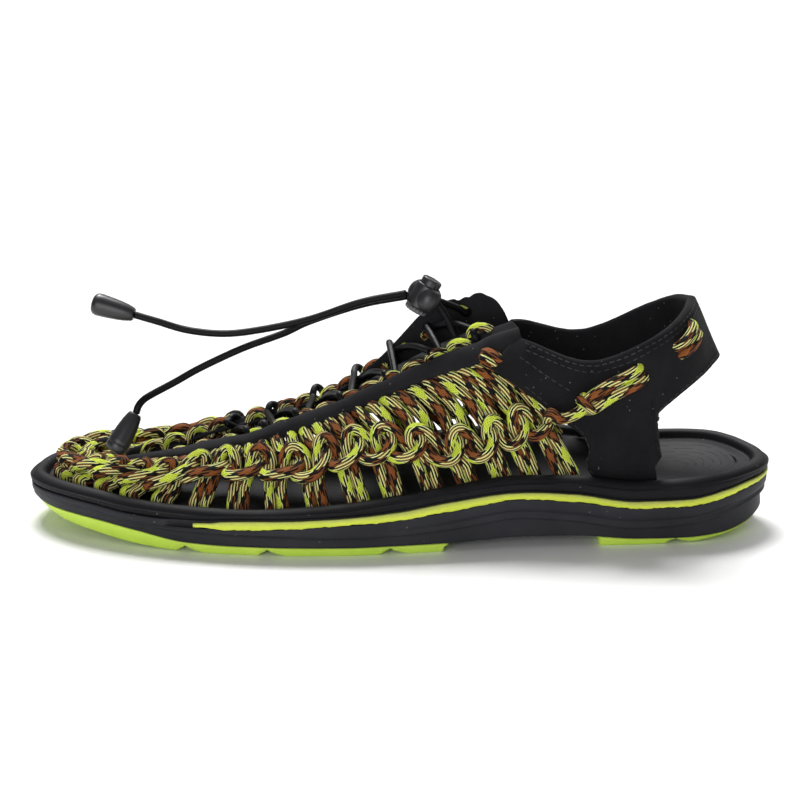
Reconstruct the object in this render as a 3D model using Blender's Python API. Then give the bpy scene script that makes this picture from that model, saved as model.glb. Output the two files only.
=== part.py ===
# Woven sandal for the left foot. Toe at -X, heel at +X, outer side at -Y, floor at z = 0.
# Every size below is in millimetres and becomes metres where a mesh is made.
import math

import bmesh
import bpy
import numpy as np
from mathutils import Matrix, Vector

MILLIMETRE = 0.001
HALF_LENGTH = 146.0
FIT_GAP = 0.4
CORD = 4.5
LACE = 2.8

# Sole from toe to heel: half widths of the plan, then heights of the lines along its side.
SOLE_COLUMNS = ("x", "outer", "inner", "bottom", "pad_top", "rib", "stripe_low", "seam", "rim", "arch")
SOLE_ROWS = (
    (-146, -5.0, 5.0, 8.0, 10.5, 12.5, 14.0, 16.0, 20.0, 0.0),
    (-144, 5.0, 19.0, 7.4, 10.2, 12.4, 14.0, 16.0, 20.3, 0.0),
    (-139, 13.5, 28.5, 6.2, 9.6, 12.2, 14.0, 16.2, 20.5, 0.0),
    (-131, 22.0, 37.0, 4.6, 9.5, 12.2, 14.0, 16.4, 20.6, 0.0),
    (-118, 31.0, 44.0, 3.0, 9.0, 11.6, 13.5, 15.9, 20.3, 0.0),
    (-100, 40.0, 49.0, 1.0, 7.2, 9.8, 11.6, 13.9, 18.9, 0.0),
    (-79, 46.5, 51.5, 0.0, 4.3, 8.6, 10.9, 13.0, 18.2, 0.0),
    (-59, 50.0, 51.5, 0.0, 3.8, 8.3, 10.9, 14.1, 17.9, 0.0),
    (-39, 51.5, 48.5, 0.0, 3.7, 7.8, 11.9, 14.7, 18.9, 0.5),
    (-19, 51.0, 43.0, 0.0, 3.6, 7.4, 13.1, 15.7, 20.6, 1.2),
    (1, 48.5, 37.5, 0.0, 3.7, 7.9, 14.4, 17.4, 23.0, 2.0),
    (21, 45.0, 34.0, 0.0, 3.8, 9.3, 17.0, 20.3, 25.9, 2.5),
    (46, 41.0, 32.0, 0.0, 5.0, 12.4, 20.3, 22.8, 28.8, 2.5),
    (66, 38.8, 32.5, 0.0, 4.8, 10.7, 18.9, 21.6, 28.2, 2.5),
    (91, 37.0, 33.5, 0.0, 3.0, 7.2, 15.6, 18.1, 25.4, 2.5),
    (111, 34.5, 32.0, 0.2, 2.7, 8.1, 15.7, 18.3, 26.0, 3.3),
    (126, 29.5, 27.0, 1.5, 3.4, 10.5, 18.2, 20.7, 27.2, 3.0),
    (136, 22.0, 20.0, 3.5, 5.0, 12.9, 20.3, 22.3, 27.9, 1.8),
    (143, 12.5, 11.5, 5.5, 7.2, 14.5, 21.0, 23.0, 28.0, 0.5),
    (146, 0.0, 0.0, 6.5, 8.2, 15.0, 21.3, 23.3, 27.9, 0.0),
)
SOLE_STATIONS = 30
STRIPE_START = -76.0
STRIPE_DEPTH = 1.6
STRIPE_FACE = 0.2
STRIPE_STATIONS = 26
GROOVE_LEAD = 12.0
GROOVE_RUN = 4.0
RIB_START = -68.0
RIB_RUN = 14.0
RIB_STEP = 1.2
RIM_FLOOR = 3.4
# Loops of the midsole from its underside up: the line each follows, its lift and inset, and how much of
# the rib's step and of the stripe's groove it takes.
MIDSOLE_COLUMNS = ("line", "lift", "inset", "rib", "groove")
MIDSOLE_ROWS = (
    ("pad_top", 0.0, 2.8, 0.0, 0.0),
    ("pad_top", 1.4, 1.6, 0.6, 0.0),
    ("rib", -0.5, 1.0, 1.0, 0.0),
    ("rib", 0.5, 0.7, 0.0, 0.0),
    ("stripe_low", -0.2, 0.5, 0.0, 0.0),
    ("stripe_low", 0.1, 0.5, 0.0, 1.0),
    ("seam", -FIT_GAP, 0.5, 0.0, 1.0),
)
# Loops of the footbed from its underside up over the rim to its floor.
FOOTBED_COLUMNS = ("line", "lift", "inset")
FOOTBED_ROWS = (
    ("seam", 0.0, 2.4),
    ("seam", 0.4, 0.5),
    ("seam", 2.0, 0.0),
    ("rim", -2.4, 0.6),
    ("rim", -0.6, 2.2),
    ("rim", 0.0, 4.2),
    ("rim", -0.8, 6.0),
    ("rim", 0.1 - RIM_FLOOR, 7.2),
    ("rim", -RIM_FLOOR, 12.5),
)
DISH_CELLS = 6
DISH_POWER = 0.8
DISH_COLUMNS = ("x", "depth")
DISH_ROWS = ((-130, 0.2), (-60, 0.8), (20, 1.2), (95, 3.4), (130, 1.5))

# Outsole pads: where each ends, and the wedge-shaped lug steps across it.
PAD_COLUMNS = ("node", "front", "rear", "end_slant", "stations", "lugs")
PAD_ROWS = (
    ("outsole_forefoot", -146.0, 20.0, 4.0, 20, (-84.0, -52.0, -5.0)),
    ("outsole_heel", 76.0, 141.0, 2.0, 12, (106.0, 124.0)),
)
PAD_INSETS = {"ground": 4.6, "shoulder": 3.2, "top": 2.8}
LUG_RUN = 5.0
LUG_DEPTH = 1.6
LUG_BACK = 0.8
LUG_CLEAR_ANGLE = 0.03

# Last that the upper follows: the ridge line's side shift and height, and how far from the ridge the throat
# strips begin and end, measured along the section.
LAST_COLUMNS = ("x", "shift", "height", "throat", "strip_low")
LAST_ROWS = (
    (-137, 4.0, 17.2, 9.0, 18.5),
    (-124, 4.0, 20.0, 9.0, 18.5),
    (-99, 4.0, 25.5, 9.5, 18.8),
    (-75, 3.5, 33.0, 11.0, 20.8),
    (-56, 3.0, 36.6, 12.3, 21.0),
    (-40, 2.5, 42.5, 12.6, 21.4),
    (-25, 2.0, 48.5, 12.6, 21.2),
    (-12, 1.5, 55.0, 12.4, 20.8),
    (3, 1.0, 63.0, 12.5, 20.8),
    (18, 0.0, 71.0, 12.8, 21.2),
    (33, -1.0, 78.0, 13.2, 22.2),
    (50, -1.0, 85.5, 13.8, 23.0),
)
LAST_POWER = 2.4
LAST_INSET = 11.5

# Woven wall: modules on each side of the toe's own one, and how far up the wall the knots lie.
WEAVE_MODULES = 16
WEAVE_REAR = 64.0
WEAVE_TOP_REAR = 31.0
WEAVE_TOP_FRONT = -86.0
WEAVE_FRONT_REACH = 6.0
WEAVE_FINE = 40
KNOT_COLUMNS = ("x", "up")
KNOT_ROWS = ((-136, 7.0), (-111, 9.0), (-75, 13.0), (-15, 15.5), (30, 14.5), (64, 18.5))
KNOT_BAND = 11.0
KNOT_SHARES = {"middle": 0.55, "half_band": 0.40, "low": 0.12, "high": 0.90}
KNOT_EDGE_SHARE = 0.4
FOOT_PROUD = 2.6
HEAD_PROUD = 3.2
# One module across: where its columns stand, and how proud each is on the legs and on the knot.
MODULE_COLUMNS = ("along", "leg", "knot")
MODULE_ROWS = ((0.0, 1.8, 5.0), (0.30, 1.8, 6.5), (0.475, 4.3, 8.2), (0.65, 2.4, 7.6), (0.825, 4.3, 7.8))
UPPER_GAPS_FROM = 8

# Throat strips: thickness, lift, and how the outer one's rear end slants.
STRIP_THICK = 3.0
STRIP_FRONT = -86.0
STRIP_REAR_LOW = 36.0
STRIP_REAR_UP = 47.0
STRIP_STATIONS = 19
STRIP_COLUMNS = ("across", "edge_dip")
STRIP_ROWS = ((0.0, 0.7), (0.08, 0.0), (0.5, 0.0), (0.92, 0.0), (1.0, 0.7))
# The inner strip's rear tab stands up from the last: rise of its throat edge.
TAB_COLUMNS = ("x", "rise")
TAB_ROWS = (
    (-90, 0.0), (-30, 0.0), (-20, 1.5), (-13, 4.0), (-3, 8.5), (4, 12.0), (11, 15.5), (18, 16.5), (30, 16.0),
    (36, 13.0), (42, 4.0), (50, -5.0),
)
TAB_POWER = 1.4

# Tongue under the lacing.
TONGUE_FRONT = -12.0
TONGUE_REAR = 38.0
TONGUE_HALF = 21.0
TONGUE_THICK = 1.8
TONGUE_BOW = 6.0
TONGUE_STATIONS = 8
TONGUE_LINES = 7

# Heel strap: its lower and upper edge at stations from the throat round to the back of the heel.
STRAP_COLUMNS = ("x_low", "z_low", "outer_low", "inner_low", "x_up", "z_up", "outer_up", "inner_up")
STRAP_ROWS = (
    (36.8, 66.5, 21.6, 18.6, 47.8, 76.0, 16.0, 15.0),
    (50.0, 57.5, 27.0, 22.4, 53.0, 75.0, 20.0, 19.0),
    (61.0, 49.0, 28.0, 23.4, 59.5, 73.2, 23.0, 22.0),
    (71.0, 41.0, 27.4, 23.0, 66.0, 71.6, 25.5, 24.0),
    (74.0, 33.0, 26.6, 22.2, 70.5, 71.0, 26.5, 25.0),
    (75.5, 24.4, 25.9, 21.3, 74.5, 71.2, 27.0, 25.4),
    (87.0, 23.0, 25.6, 21.6, 82.0, 73.4, 27.3, 25.6),
    (98.8, 22.4, 24.6, 21.6, 89.5, 76.8, 27.0, 25.4),
    (95.0, 38.0, 25.2, 22.4, 94.5, 79.4, 26.3, 25.0),
    (95.5, 47.0, 25.4, 23.2, 99.0, 82.0, 24.4, 23.6),
    (104.5, 55.8, 22.0, 21.0, 103.3, 84.6, 20.6, 20.2),
    (115.0, 61.8, 13.5, 13.0, 108.0, 87.6, 12.5, 12.5),
    (122.8, 64.5, 0.0, 0.0, 111.3, 89.4, 0.0, 0.0),
)
STRAP_THICK = 3.4
STRAP_BULGE = 1.6
STRAP_SWELL_REACH = 12.0
STRAP_EDGE = 0.5
STRAP_RISE = 4

# Cord loops that lie on the strap: station and height fraction along each run.
SIDE_LOOP = ((2.0, 0.05), (3.4, 0.52), (4.9, 0.76), (6.8, 0.86))
HEEL_LOOP = ((10.0, 0.64), (10.5, 0.69), (11.0, 0.74))
LOOP_SPREAD = 5.2
LOOP_GAP = 0.9

# Elastic lace: rows of crossings along the throat, its lift above the strips, and the two free ends.
LACE_ROWS = (-72.0, -57.0, -41.0, -25.0, -9.0, 8.0, 26.0)
LACE_LIFT = 4.4
LACE_TAB_SHARE = 0.45
LACE_THROAT_REACH = 1.0
LACE_BOW = 0.5
LACE_POINTS = 37
LOCK_CENTRE = (10.2, -2.0, 90.6)
LOCK_LEAN = 30.0
LOCK_BALL = 6.2
LOCK_BALL_ARC = 1.45
LOCK_TWIN = 1.9
LOCK_SIDES = 12
LOCK_ENTRY = 0.6
LOCK_ENTRY_DROP = 0.5
LOCK_RUN_IN = (3.0, 0.0, -0.8)
# Turned profiles of the lock: rows of radius and height along its own axis.
LOCK_BORE = 4.3
LOCK_FOOT_ROWS = ((3.8, -7.2), (4.5, -6.7), (4.5, -5.4), (4.9, -5.0), (4.9, -2.0))
LOCK_BORE_ROWS = ((LOCK_BORE, -4.0), (LOCK_BORE, 12.0))
BUTTON = LOCK_BORE - 0.3
BUTTON_ROWS = ((BUTTON - 0.4, -0.6), (BUTTON, -0.2), (BUTTON, 6.7), (BUTTON - 0.5, 7.2))
END_UPPER = (
    (3.3, -3.6, 91.7), (-14.0, -4.0, 88.3), (-33.7, -4.0, 81.6), (-53.4, -4.0, 77.3),
    (-67.5, -3.0, 75.6), (-81.5, -2.0, 76.8), (-93.5, -1.0, 80.1), (-101.8, 0.0, 82.3),
)
END_LOWER = (
    (3.3, -0.4, 89.9), (-14.1, -0.7, 86.6), (-33.8, -0.8, 80.1), (-43.9, -2.0, 75.6), (-59.7, -4.5, 70.2),
    (-75.6, -6.5, 63.1), (-86.0, -8.8, 57.6), (-93.5, -11.2, 54.0), (-97.3, -13.2, 52.0), (-99.4, -14.6, 49.8),
    (-100.4, -15.4, 47.0),
)
END_POINTS = 20
TIP_GAP = 0.3
TIP_LENGTH = 17.0
TIP_COLUMNS = ("share", "radius")
TIP_RADII = ((0.0, 1.9), (0.08, 2.4), (0.35, 3.0), (0.60, 4.1), (0.85, 4.6), (0.96, 4.0), (1.0, 2.2))

# Base colour and roughness of each material.
FINISHES = {
    "lime_rubber": ((0.42, 0.72, 0.03), 0.55),
    "lime_stripe": ((0.50, 0.75, 0.02), 0.50),
    "black_foam": ((0.018, 0.018, 0.020), 0.65),
    "cord": ((0.36, 0.42, 0.06), 0.80),
    "microfibre": ((0.013, 0.013, 0.014), 0.90),
    "elastic": ((0.015, 0.015, 0.016), 0.50),
    "black_plastic": ((0.020, 0.020, 0.021), 0.45),
}


def column(columns, rows, name, x, round_ends=False):
    # Smooth monotone curve through one named column; round ends read it by the angle of x.
    table = np.array(rows, float)
    known = table[:, columns.index("x")]
    wanted = np.clip(np.asarray(x, float), known[0], known[-1])
    if round_ends:
        known = np.arccos(np.clip(-known / HALF_LENGTH, -1, 1))
        wanted = np.arccos(np.clip(-wanted / HALF_LENGTH, -1, 1))
    return smooth_curve(known, table[:, columns.index(name)], wanted)


def smooth_curve(known, values, wanted):
    step = np.diff(known)
    slope = np.diff(values) / step
    bend = np.zeros(len(known))
    bend[0] = slope[0]
    bend[-1] = slope[-1]
    same_way = slope[:-1] * slope[1:] > 0
    safe = np.where(same_way, slope[:-1] * slope[1:], 1.0)
    weight = step[1:] * slope[1:] + step[:-1] * slope[:-1]
    mean = safe * (step[:-1] + step[1:]) / np.where(same_way, weight, 1.0)
    bend[1:-1] = np.where(same_way, mean, 0.0)
    cell = np.clip(np.searchsorted(known, wanted) - 1, 0, len(step) - 1)
    part = (wanted - known[cell]) / step[cell]
    rest = 1 - part
    return ((1 + 2 * part) * rest ** 2 * values[cell] + part * rest ** 2 * step[cell] * bend[cell]
            + part ** 2 * (3 - 2 * part) * values[cell + 1] - part ** 2 * rest * step[cell] * bend[cell + 1])


def sole(name, x):
    return column(SOLE_COLUMNS, SOLE_ROWS, name, x, round_ends=True)


def angle_of(x):
    return np.arccos(np.clip(-np.asarray(x, float) / HALF_LENGTH, -1, 1))


def plan_edge(angle, side, inset):
    # Plan outline at the angles, moved inwards at right angles by the inset; side is "outer" or "inner".
    sign = -1.0 if side == "outer" else 1.0
    small = 0.004
    low = np.clip(angle - small, 0, math.pi)
    high = np.clip(angle + small, 0, math.pi)
    place = [np.stack([-HALF_LENGTH * np.cos(a), sign * sole(side, -HALF_LENGTH * np.cos(a))], -1)
             for a in (low, angle, high)]
    tangent = place[2] - place[0]
    at_tip = (angle < small) | (angle > math.pi - small)
    heading = np.where(angle < math.pi / 2, sign, -sign)
    tangent = np.where(at_tip[:, None], np.stack([np.zeros_like(angle), heading], -1), tangent)
    tangent /= np.linalg.norm(tangent, axis=1)[:, None]
    inward = np.stack([tangent[:, 1], -tangent[:, 0]], -1) * sign
    inward = np.where(at_tip[:, None], np.stack([np.where(angle < 1, 1.0, -1.0), 0 * angle], -1), inward)
    return place[1] + inward * np.asarray(inset, float)[..., None]


def ring(angles, inset, height):
    # Closed loop: outer side from front to rear, inner side back; height is called with x and side.
    loops = []
    for side in ("outer", "inner"):
        x = -HALF_LENGTH * np.cos(angles)
        plan = plan_edge(angles, side, inset(x) if callable(inset) else np.full(len(angles), inset))
        loops.append(np.column_stack([plan, height(x, side)]))
    start = 1 if angles[0] < 1e-6 else 0
    stop = len(angles) - 1 if angles[-1] > math.pi - 1e-6 else len(angles)
    return np.concatenate([loops[0], loops[1][start:stop][::-1]])


def ladder(count, first_shared, last_shared):
    # Index pairs that join a loop's outer side to its inner side.
    inner = list(range(2 * count - first_shared - last_shared - 1, count - 1, -1))
    if first_shared:
        inner = [0] + inner
    if last_shared:
        inner = inner + [count - 1]
    return list(zip(range(count), inner))


def cap_faces(pairs, start):
    faces = []
    for (left, right), (next_left, next_right) in zip(pairs, pairs[1:]):
        corners = []
        for corner in (left, next_left, next_right, right):
            if corner + start not in corners:
                corners.append(corner + start)
        faces.append(corners)
    return faces


def make_node(name, points, faces, finish, smooth=30.0):
    mesh = bpy.data.meshes.new(name)
    mesh.from_pydata((np.asarray(points) * MILLIMETRE).tolist(), [], faces)
    shape = bmesh.new()
    shape.from_mesh(mesh)
    bmesh.ops.recalc_face_normals(shape, faces=shape.faces)
    shape.to_mesh(mesh)
    shape.free()
    mesh.shade_smooth()
    mesh.set_sharp_from_angle(angle=math.radians(smooth))
    node = bpy.data.objects.new(name, mesh)
    bpy.context.scene.collection.objects.link(node)
    dress(node, finish)
    return node


def dress(node, finish):
    colour, rough = FINISHES[finish]
    material = bpy.data.materials.new(node.name + "_finish")
    material.use_nodes = True
    shader = material.node_tree.nodes["Principled BSDF"]
    shader.inputs["Base Color"].default_value = (*colour, 1.0)
    shader.inputs["Roughness"].default_value = rough
    shader.inputs["Metallic"].default_value = 0.0
    node.data.materials.append(material)


def loft(name, rings, pairs, finish, dish=None):
    # Closed solid from stacked loops; dish gives rows of points across the last loop's ladder.
    count = len(rings[0])
    points = [np.concatenate(rings)]
    faces = cap_faces(pairs, 0)
    for level in range(len(rings) - 1):
        base = level * count
        for i in range(count):
            j = (i + 1) % count
            faces.append((base + i, base + j, base + count + j, base + count + i))
    top = (len(rings) - 1) * count
    if dish is None:
        faces += cap_faces(pairs, top)
    else:
        rows = []
        used = len(rings) * count
        for left, right in pairs:
            if left == right:
                rows.append([top + left])
                continue
            inside = dish(rings[-1][left], rings[-1][right])
            rows.append([top + left] + list(range(used, used + len(inside))) + [top + right])
            points.append(inside)
            used += len(inside)
        for row, following in zip(rows, rows[1:]):
            faces += bridge_rows(row, following)
    return make_node(name, np.concatenate(points), faces, finish)


def bridge_rows(row, following):
    if len(row) == 1:
        return [(row[0], a, b) for a, b in zip(following, following[1:])]
    if len(following) == 1:
        return [(a, following[0], b) for a, b in zip(row, row[1:])]
    return [(row[i], following[i], following[i + 1], row[i + 1]) for i in range(len(row) - 1)]


def wall(name, outer, inner, keep, finish):
    # Closed wall between two grids of points; cells where keep is false become holes.
    rows, columns = outer.shape[:2]
    used = np.zeros((rows, columns), bool)
    for r, c in zip(*np.nonzero(keep)):
        used[r:r + 2, c:c + 2] = True
    number = np.full((rows, columns), -1)
    number[used] = np.arange(used.sum())
    count = int(used.sum())
    faces = []
    for r, c in zip(*np.nonzero(keep)):
        corners = ((r, c), (r, c + 1), (r + 1, c + 1), (r + 1, c))
        ids = [int(number[corner]) for corner in corners]
        faces.append(ids)
        faces.append([i + count for i in reversed(ids)])
        beside = ((r - 1, c), (r, c + 1), (r + 1, c), (r, c - 1))
        for k, (near_row, near_column) in enumerate(beside):
            inside = 0 <= near_row < rows - 1 and 0 <= near_column < columns - 1
            if not (inside and keep[near_row, near_column]):
                a, b = ids[k], ids[(k + 1) % 4]
                faces.append((b, a, a + count, b + count))
    return make_node(name, np.concatenate([outer[used], inner[used]]), faces, finish)


def tube_points(path, radii, sides):
    # Rings of points round a path, carried along without twist.
    path = np.asarray(path, float)
    heading = np.gradient(path, axis=0)
    heading /= np.linalg.norm(heading, axis=1)[:, None]
    across = np.cross(heading[0], (0.0, 0.0, 1.0))
    if np.linalg.norm(across) < 0.1:
        across = np.cross(heading[0], (0.0, 1.0, 0.0))
    turn = np.arange(sides) * 2 * math.pi / sides
    rings = []
    for place, ahead, radius in zip(path, heading, np.broadcast_to(radii, len(path))):
        across = across - ahead * np.dot(across, ahead)
        across = across / np.linalg.norm(across)
        up = np.cross(across, ahead)
        rings.append(place + radius * (np.cos(turn)[:, None] * across + np.sin(turn)[:, None] * up))
    return rings


def stacked_faces(levels, count):
    # Faces of a stack of loops with count points each, closed at both ends.
    faces = [tuple(range(count)), tuple(range((levels - 1) * count, levels * count))]
    for level in range(levels - 1):
        base = level * count
        for i in range(count):
            j = (i + 1) % count
            faces.append((base + i, base + j, base + count + j, base + count + i))
    return faces


def tube(name, path, radii, sides, finish):
    rings = tube_points(path, radii, sides)
    return make_node(name, np.concatenate(rings), stacked_faces(len(rings), sides), finish, smooth=50.0)


def smooth_path(points, count):
    # Evenly spaced points on a smooth curve through the given ones.
    points = np.asarray(points, float)
    span = np.concatenate([[0.0], np.cumsum(np.linalg.norm(np.diff(points, axis=0), axis=1))])
    fine = np.linspace(0, span[-1], 400)
    padded = np.concatenate([[2 * points[0] - points[1]], points, [2 * points[-1] - points[-2]]])
    cell = np.clip(np.searchsorted(span, fine) - 1, 0, len(points) - 2)
    part = ((fine - span[cell]) / (span[cell + 1] - span[cell]))[:, None]
    before, here, there, after = (padded[cell + k] for k in range(4))
    bend = 2 * before - 5 * here + 4 * there - after
    twist = 3 * here - before - 3 * there + after
    curve = 0.5 * (2 * here + (there - before) * part + bend * part ** 2 + twist * part ** 3)
    run = np.concatenate([[0.0], np.cumsum(np.linalg.norm(np.diff(curve, axis=0), axis=1))])
    even = np.linspace(0, run[-1], count)
    return np.stack([np.interp(even, run, curve[:, k]) for k in range(3)], -1)


def last_column(name, x):
    return column(LAST_COLUMNS, LAST_ROWS, name, x)


def last_height(x, y):
    # Height of the foot's form: a ridge line with rounded sections falling to the footbed on both sides.
    x = np.asarray(x, float)
    ridge = last_column("shift", x)
    outer = LAST_INSET - sole("outer", x)
    inner = sole("inner", x) - LAST_INSET
    reach = np.where(y < ridge, ridge - outer, inner - ridge)
    share = np.clip(np.abs(y - ridge) / np.maximum(reach, 1.0), 0.0, 1.0)
    foot = sole("rim", x) + np.where(y < ridge, 0.0, sole("arch", x)) * share - RIM_FLOOR + FIT_GAP
    return foot + (last_column("height", x) - foot) * (1 - share ** LAST_POWER)


def last_point(x, y, lift):
    # Point at a given distance off the last, along the last's own normal.
    small = 0.6
    slope_x = (last_height(x + small, y) - last_height(x - small, y)) / (2 * small)
    slope_y = (last_height(x, y + small) - last_height(x, y - small)) / (2 * small)
    normal = np.stack([-slope_x, -slope_y, np.ones_like(slope_x)], -1)
    normal /= np.linalg.norm(normal, axis=-1)[..., None]
    return np.stack([x, y, last_height(x, y)], -1) + normal * np.asarray(lift, float)[..., None]


def walk(x, side, distance):
    # Side position y that lies the given distance from the ridge, measured along the section at x.
    sign = -1.0 if side == "outer" else 1.0
    ridge = last_column("shift", x)
    away = np.linspace(0.0, 45.0, 181)
    y = ridge[:, None] + sign * away
    z = last_height(np.broadcast_to(x[:, None], y.shape), y)
    length = np.cumsum(np.hypot(np.diff(y, axis=1), np.diff(z, axis=1)), axis=1)
    length = np.concatenate([np.zeros((len(x), 1)), length], axis=1)
    return np.array([np.interp(d, row, line) for d, row, line in zip(distance, length, y)])


def rim_height(x, side):
    return sole("rim", x) + (sole("arch", x) if side == "inner" else 0.0)


def build_outsole():
    for row in PAD_ROWS:
        pad = dict(zip(PAD_COLUMNS, row))
        marks = [angle_of(pad["front"]), angle_of(pad["rear"])]
        for lug in pad["lugs"]:
            marks += [angle_of(lug - LUG_RUN), angle_of(lug), angle_of(lug + LUG_BACK)]
        even = np.linspace(marks[0], marks[1], pad["stations"])
        clear = [a for a in even if min(abs(a - mark) for mark in marks) > LUG_CLEAR_ANGLE]
        angles = np.sort(np.array(clear + marks))
        slanted = angles.copy()
        slanted[-1] = angle_of(pad["rear"] - pad["end_slant"])

        def ground(x, side, lugs=pad["lugs"]):
            lift = np.zeros_like(x)
            for lug in lugs:
                ramp = np.clip((x - lug + LUG_RUN) / LUG_RUN, 0, 1)
                lift += LUG_DEPTH * ramp * (x < lug + LUG_BACK / 2)
            return sole("bottom", x) + np.minimum(lift, LUG_DEPTH)

        def top(x, side):
            return sole("pad_top", x) - FIT_GAP

        def shoulder(x, side, ground=ground, top=top):
            return (ground(x, side) + top(x, side)) / 2

        rings = [ring(slanted, PAD_INSETS["ground"], ground), ring(angles, PAD_INSETS["shoulder"], shoulder),
                 ring(angles, PAD_INSETS["top"], top)]
        shared = (pad["front"] <= -HALF_LENGTH, pad["rear"] >= HALF_LENGTH)
        loft(pad["node"], rings, ladder(len(angles), *shared), "lime_rubber")


def sole_line(name, lift):
    # Height along the sole's side for a loop; the rim also takes the arch of the inner side.
    if name == "rim":
        return lambda x, side: rim_height(x, side) + lift
    return lambda x, side: sole(name, x) + lift


def build_midsole():
    angles = np.linspace(0, math.pi, SOLE_STATIONS + 1)
    rings = []
    for row in MIDSOLE_ROWS:
        loop = dict(zip(MIDSOLE_COLUMNS, row))

        def inset(x, loop=loop):
            rib = RIB_STEP * np.clip((x - RIB_START) / RIB_RUN, 0, 1)
            groove = STRIPE_DEPTH * np.clip((x - STRIPE_START + GROOVE_LEAD) / GROOVE_RUN, 0, 1)
            return loop["inset"] + loop["rib"] * rib + loop["groove"] * groove

        rings.append(ring(angles, inset, sole_line(loop["line"], loop["lift"])))
    loft("midsole", rings, ladder(len(angles), True, True), "black_foam")


def build_stripe():
    # Band in the midsole's groove, from the ball of one side round the heel to the other side.
    angles = np.linspace(angle_of(STRIPE_START), math.pi, STRIPE_STATIONS)
    x = -HALF_LENGTH * np.cos(angles)
    corners = ((STRIPE_FACE, "stripe_low", 0.1 + FIT_GAP), (STRIPE_DEPTH, "stripe_low", 0.1 + FIT_GAP),
               (STRIPE_DEPTH, "seam", -FIT_GAP * 2), (STRIPE_FACE, "seam", -FIT_GAP * 2))
    sections = []
    for inset, name, lift in corners:
        both = []
        for side in ("outer", "inner"):
            plan = plan_edge(angles, side, np.full(len(angles), inset))
            both.append(np.column_stack([plan, sole(name, x) + lift]))
        sections.append(np.concatenate([both[0], both[1][:-1][::-1]]))
    rings = np.stack(sections, axis=1)
    make_node("stripe", rings.reshape(-1, 3), stacked_faces(len(rings), len(corners)), "lime_stripe")


def build_footbed():
    angles = np.linspace(0, math.pi, SOLE_STATIONS + 1)
    rings = []
    for row in FOOTBED_ROWS:
        loop = dict(zip(FOOTBED_COLUMNS, row))
        rings.append(ring(angles, loop["inset"], sole_line(loop["line"], loop["lift"])))

    def dish(left, right):
        # Shallow cup: deeper towards the heel, with the arch kept up on the inner side.
        share = np.linspace(0, 1, DISH_CELLS + 1)[1:-1]
        across = left + (right - left) * share[:, None]
        depth = column(DISH_COLUMNS, DISH_ROWS, "depth", left[0])
        across[:, 2] -= depth * np.sin(math.pi * share) ** DISH_POWER
        return across

    loft("footbed", rings, ladder(len(angles), True, True), "black_foam", dish)


def even_path(points, count):
    run = np.concatenate([[0.0], np.cumsum(np.linalg.norm(np.diff(points, axis=0), axis=1))])
    even = np.linspace(0, run[-1], count)
    return np.stack([np.interp(even, run, points[:, k]) for k in range(2)], -1)


def weave_edges(side, count):
    # Foot and head of the woven wall from the toe's middle to the rear, in plan, evenly divided.
    angle = np.linspace(0.0, angle_of(WEAVE_REAR), 200)
    foot = plan_edge(angle, side, np.full(200, LAST_INSET))
    x = np.linspace(WEAVE_TOP_FRONT, WEAVE_TOP_REAR, 200)
    edge = np.column_stack([x, walk(x, side, last_column("strip_low", x) + FIT_GAP)])
    bow = np.linspace(0, math.pi / 2, 40)[:-1]
    ridge = float(last_column("shift", WEAVE_TOP_FRONT))
    front = np.column_stack([WEAVE_TOP_FRONT - WEAVE_FRONT_REACH * np.cos(bow),
                             ridge + (edge[0, 1] - ridge) * np.sin(bow)])
    return even_path(foot, count), even_path(np.concatenate([front, edge]), count)


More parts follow.
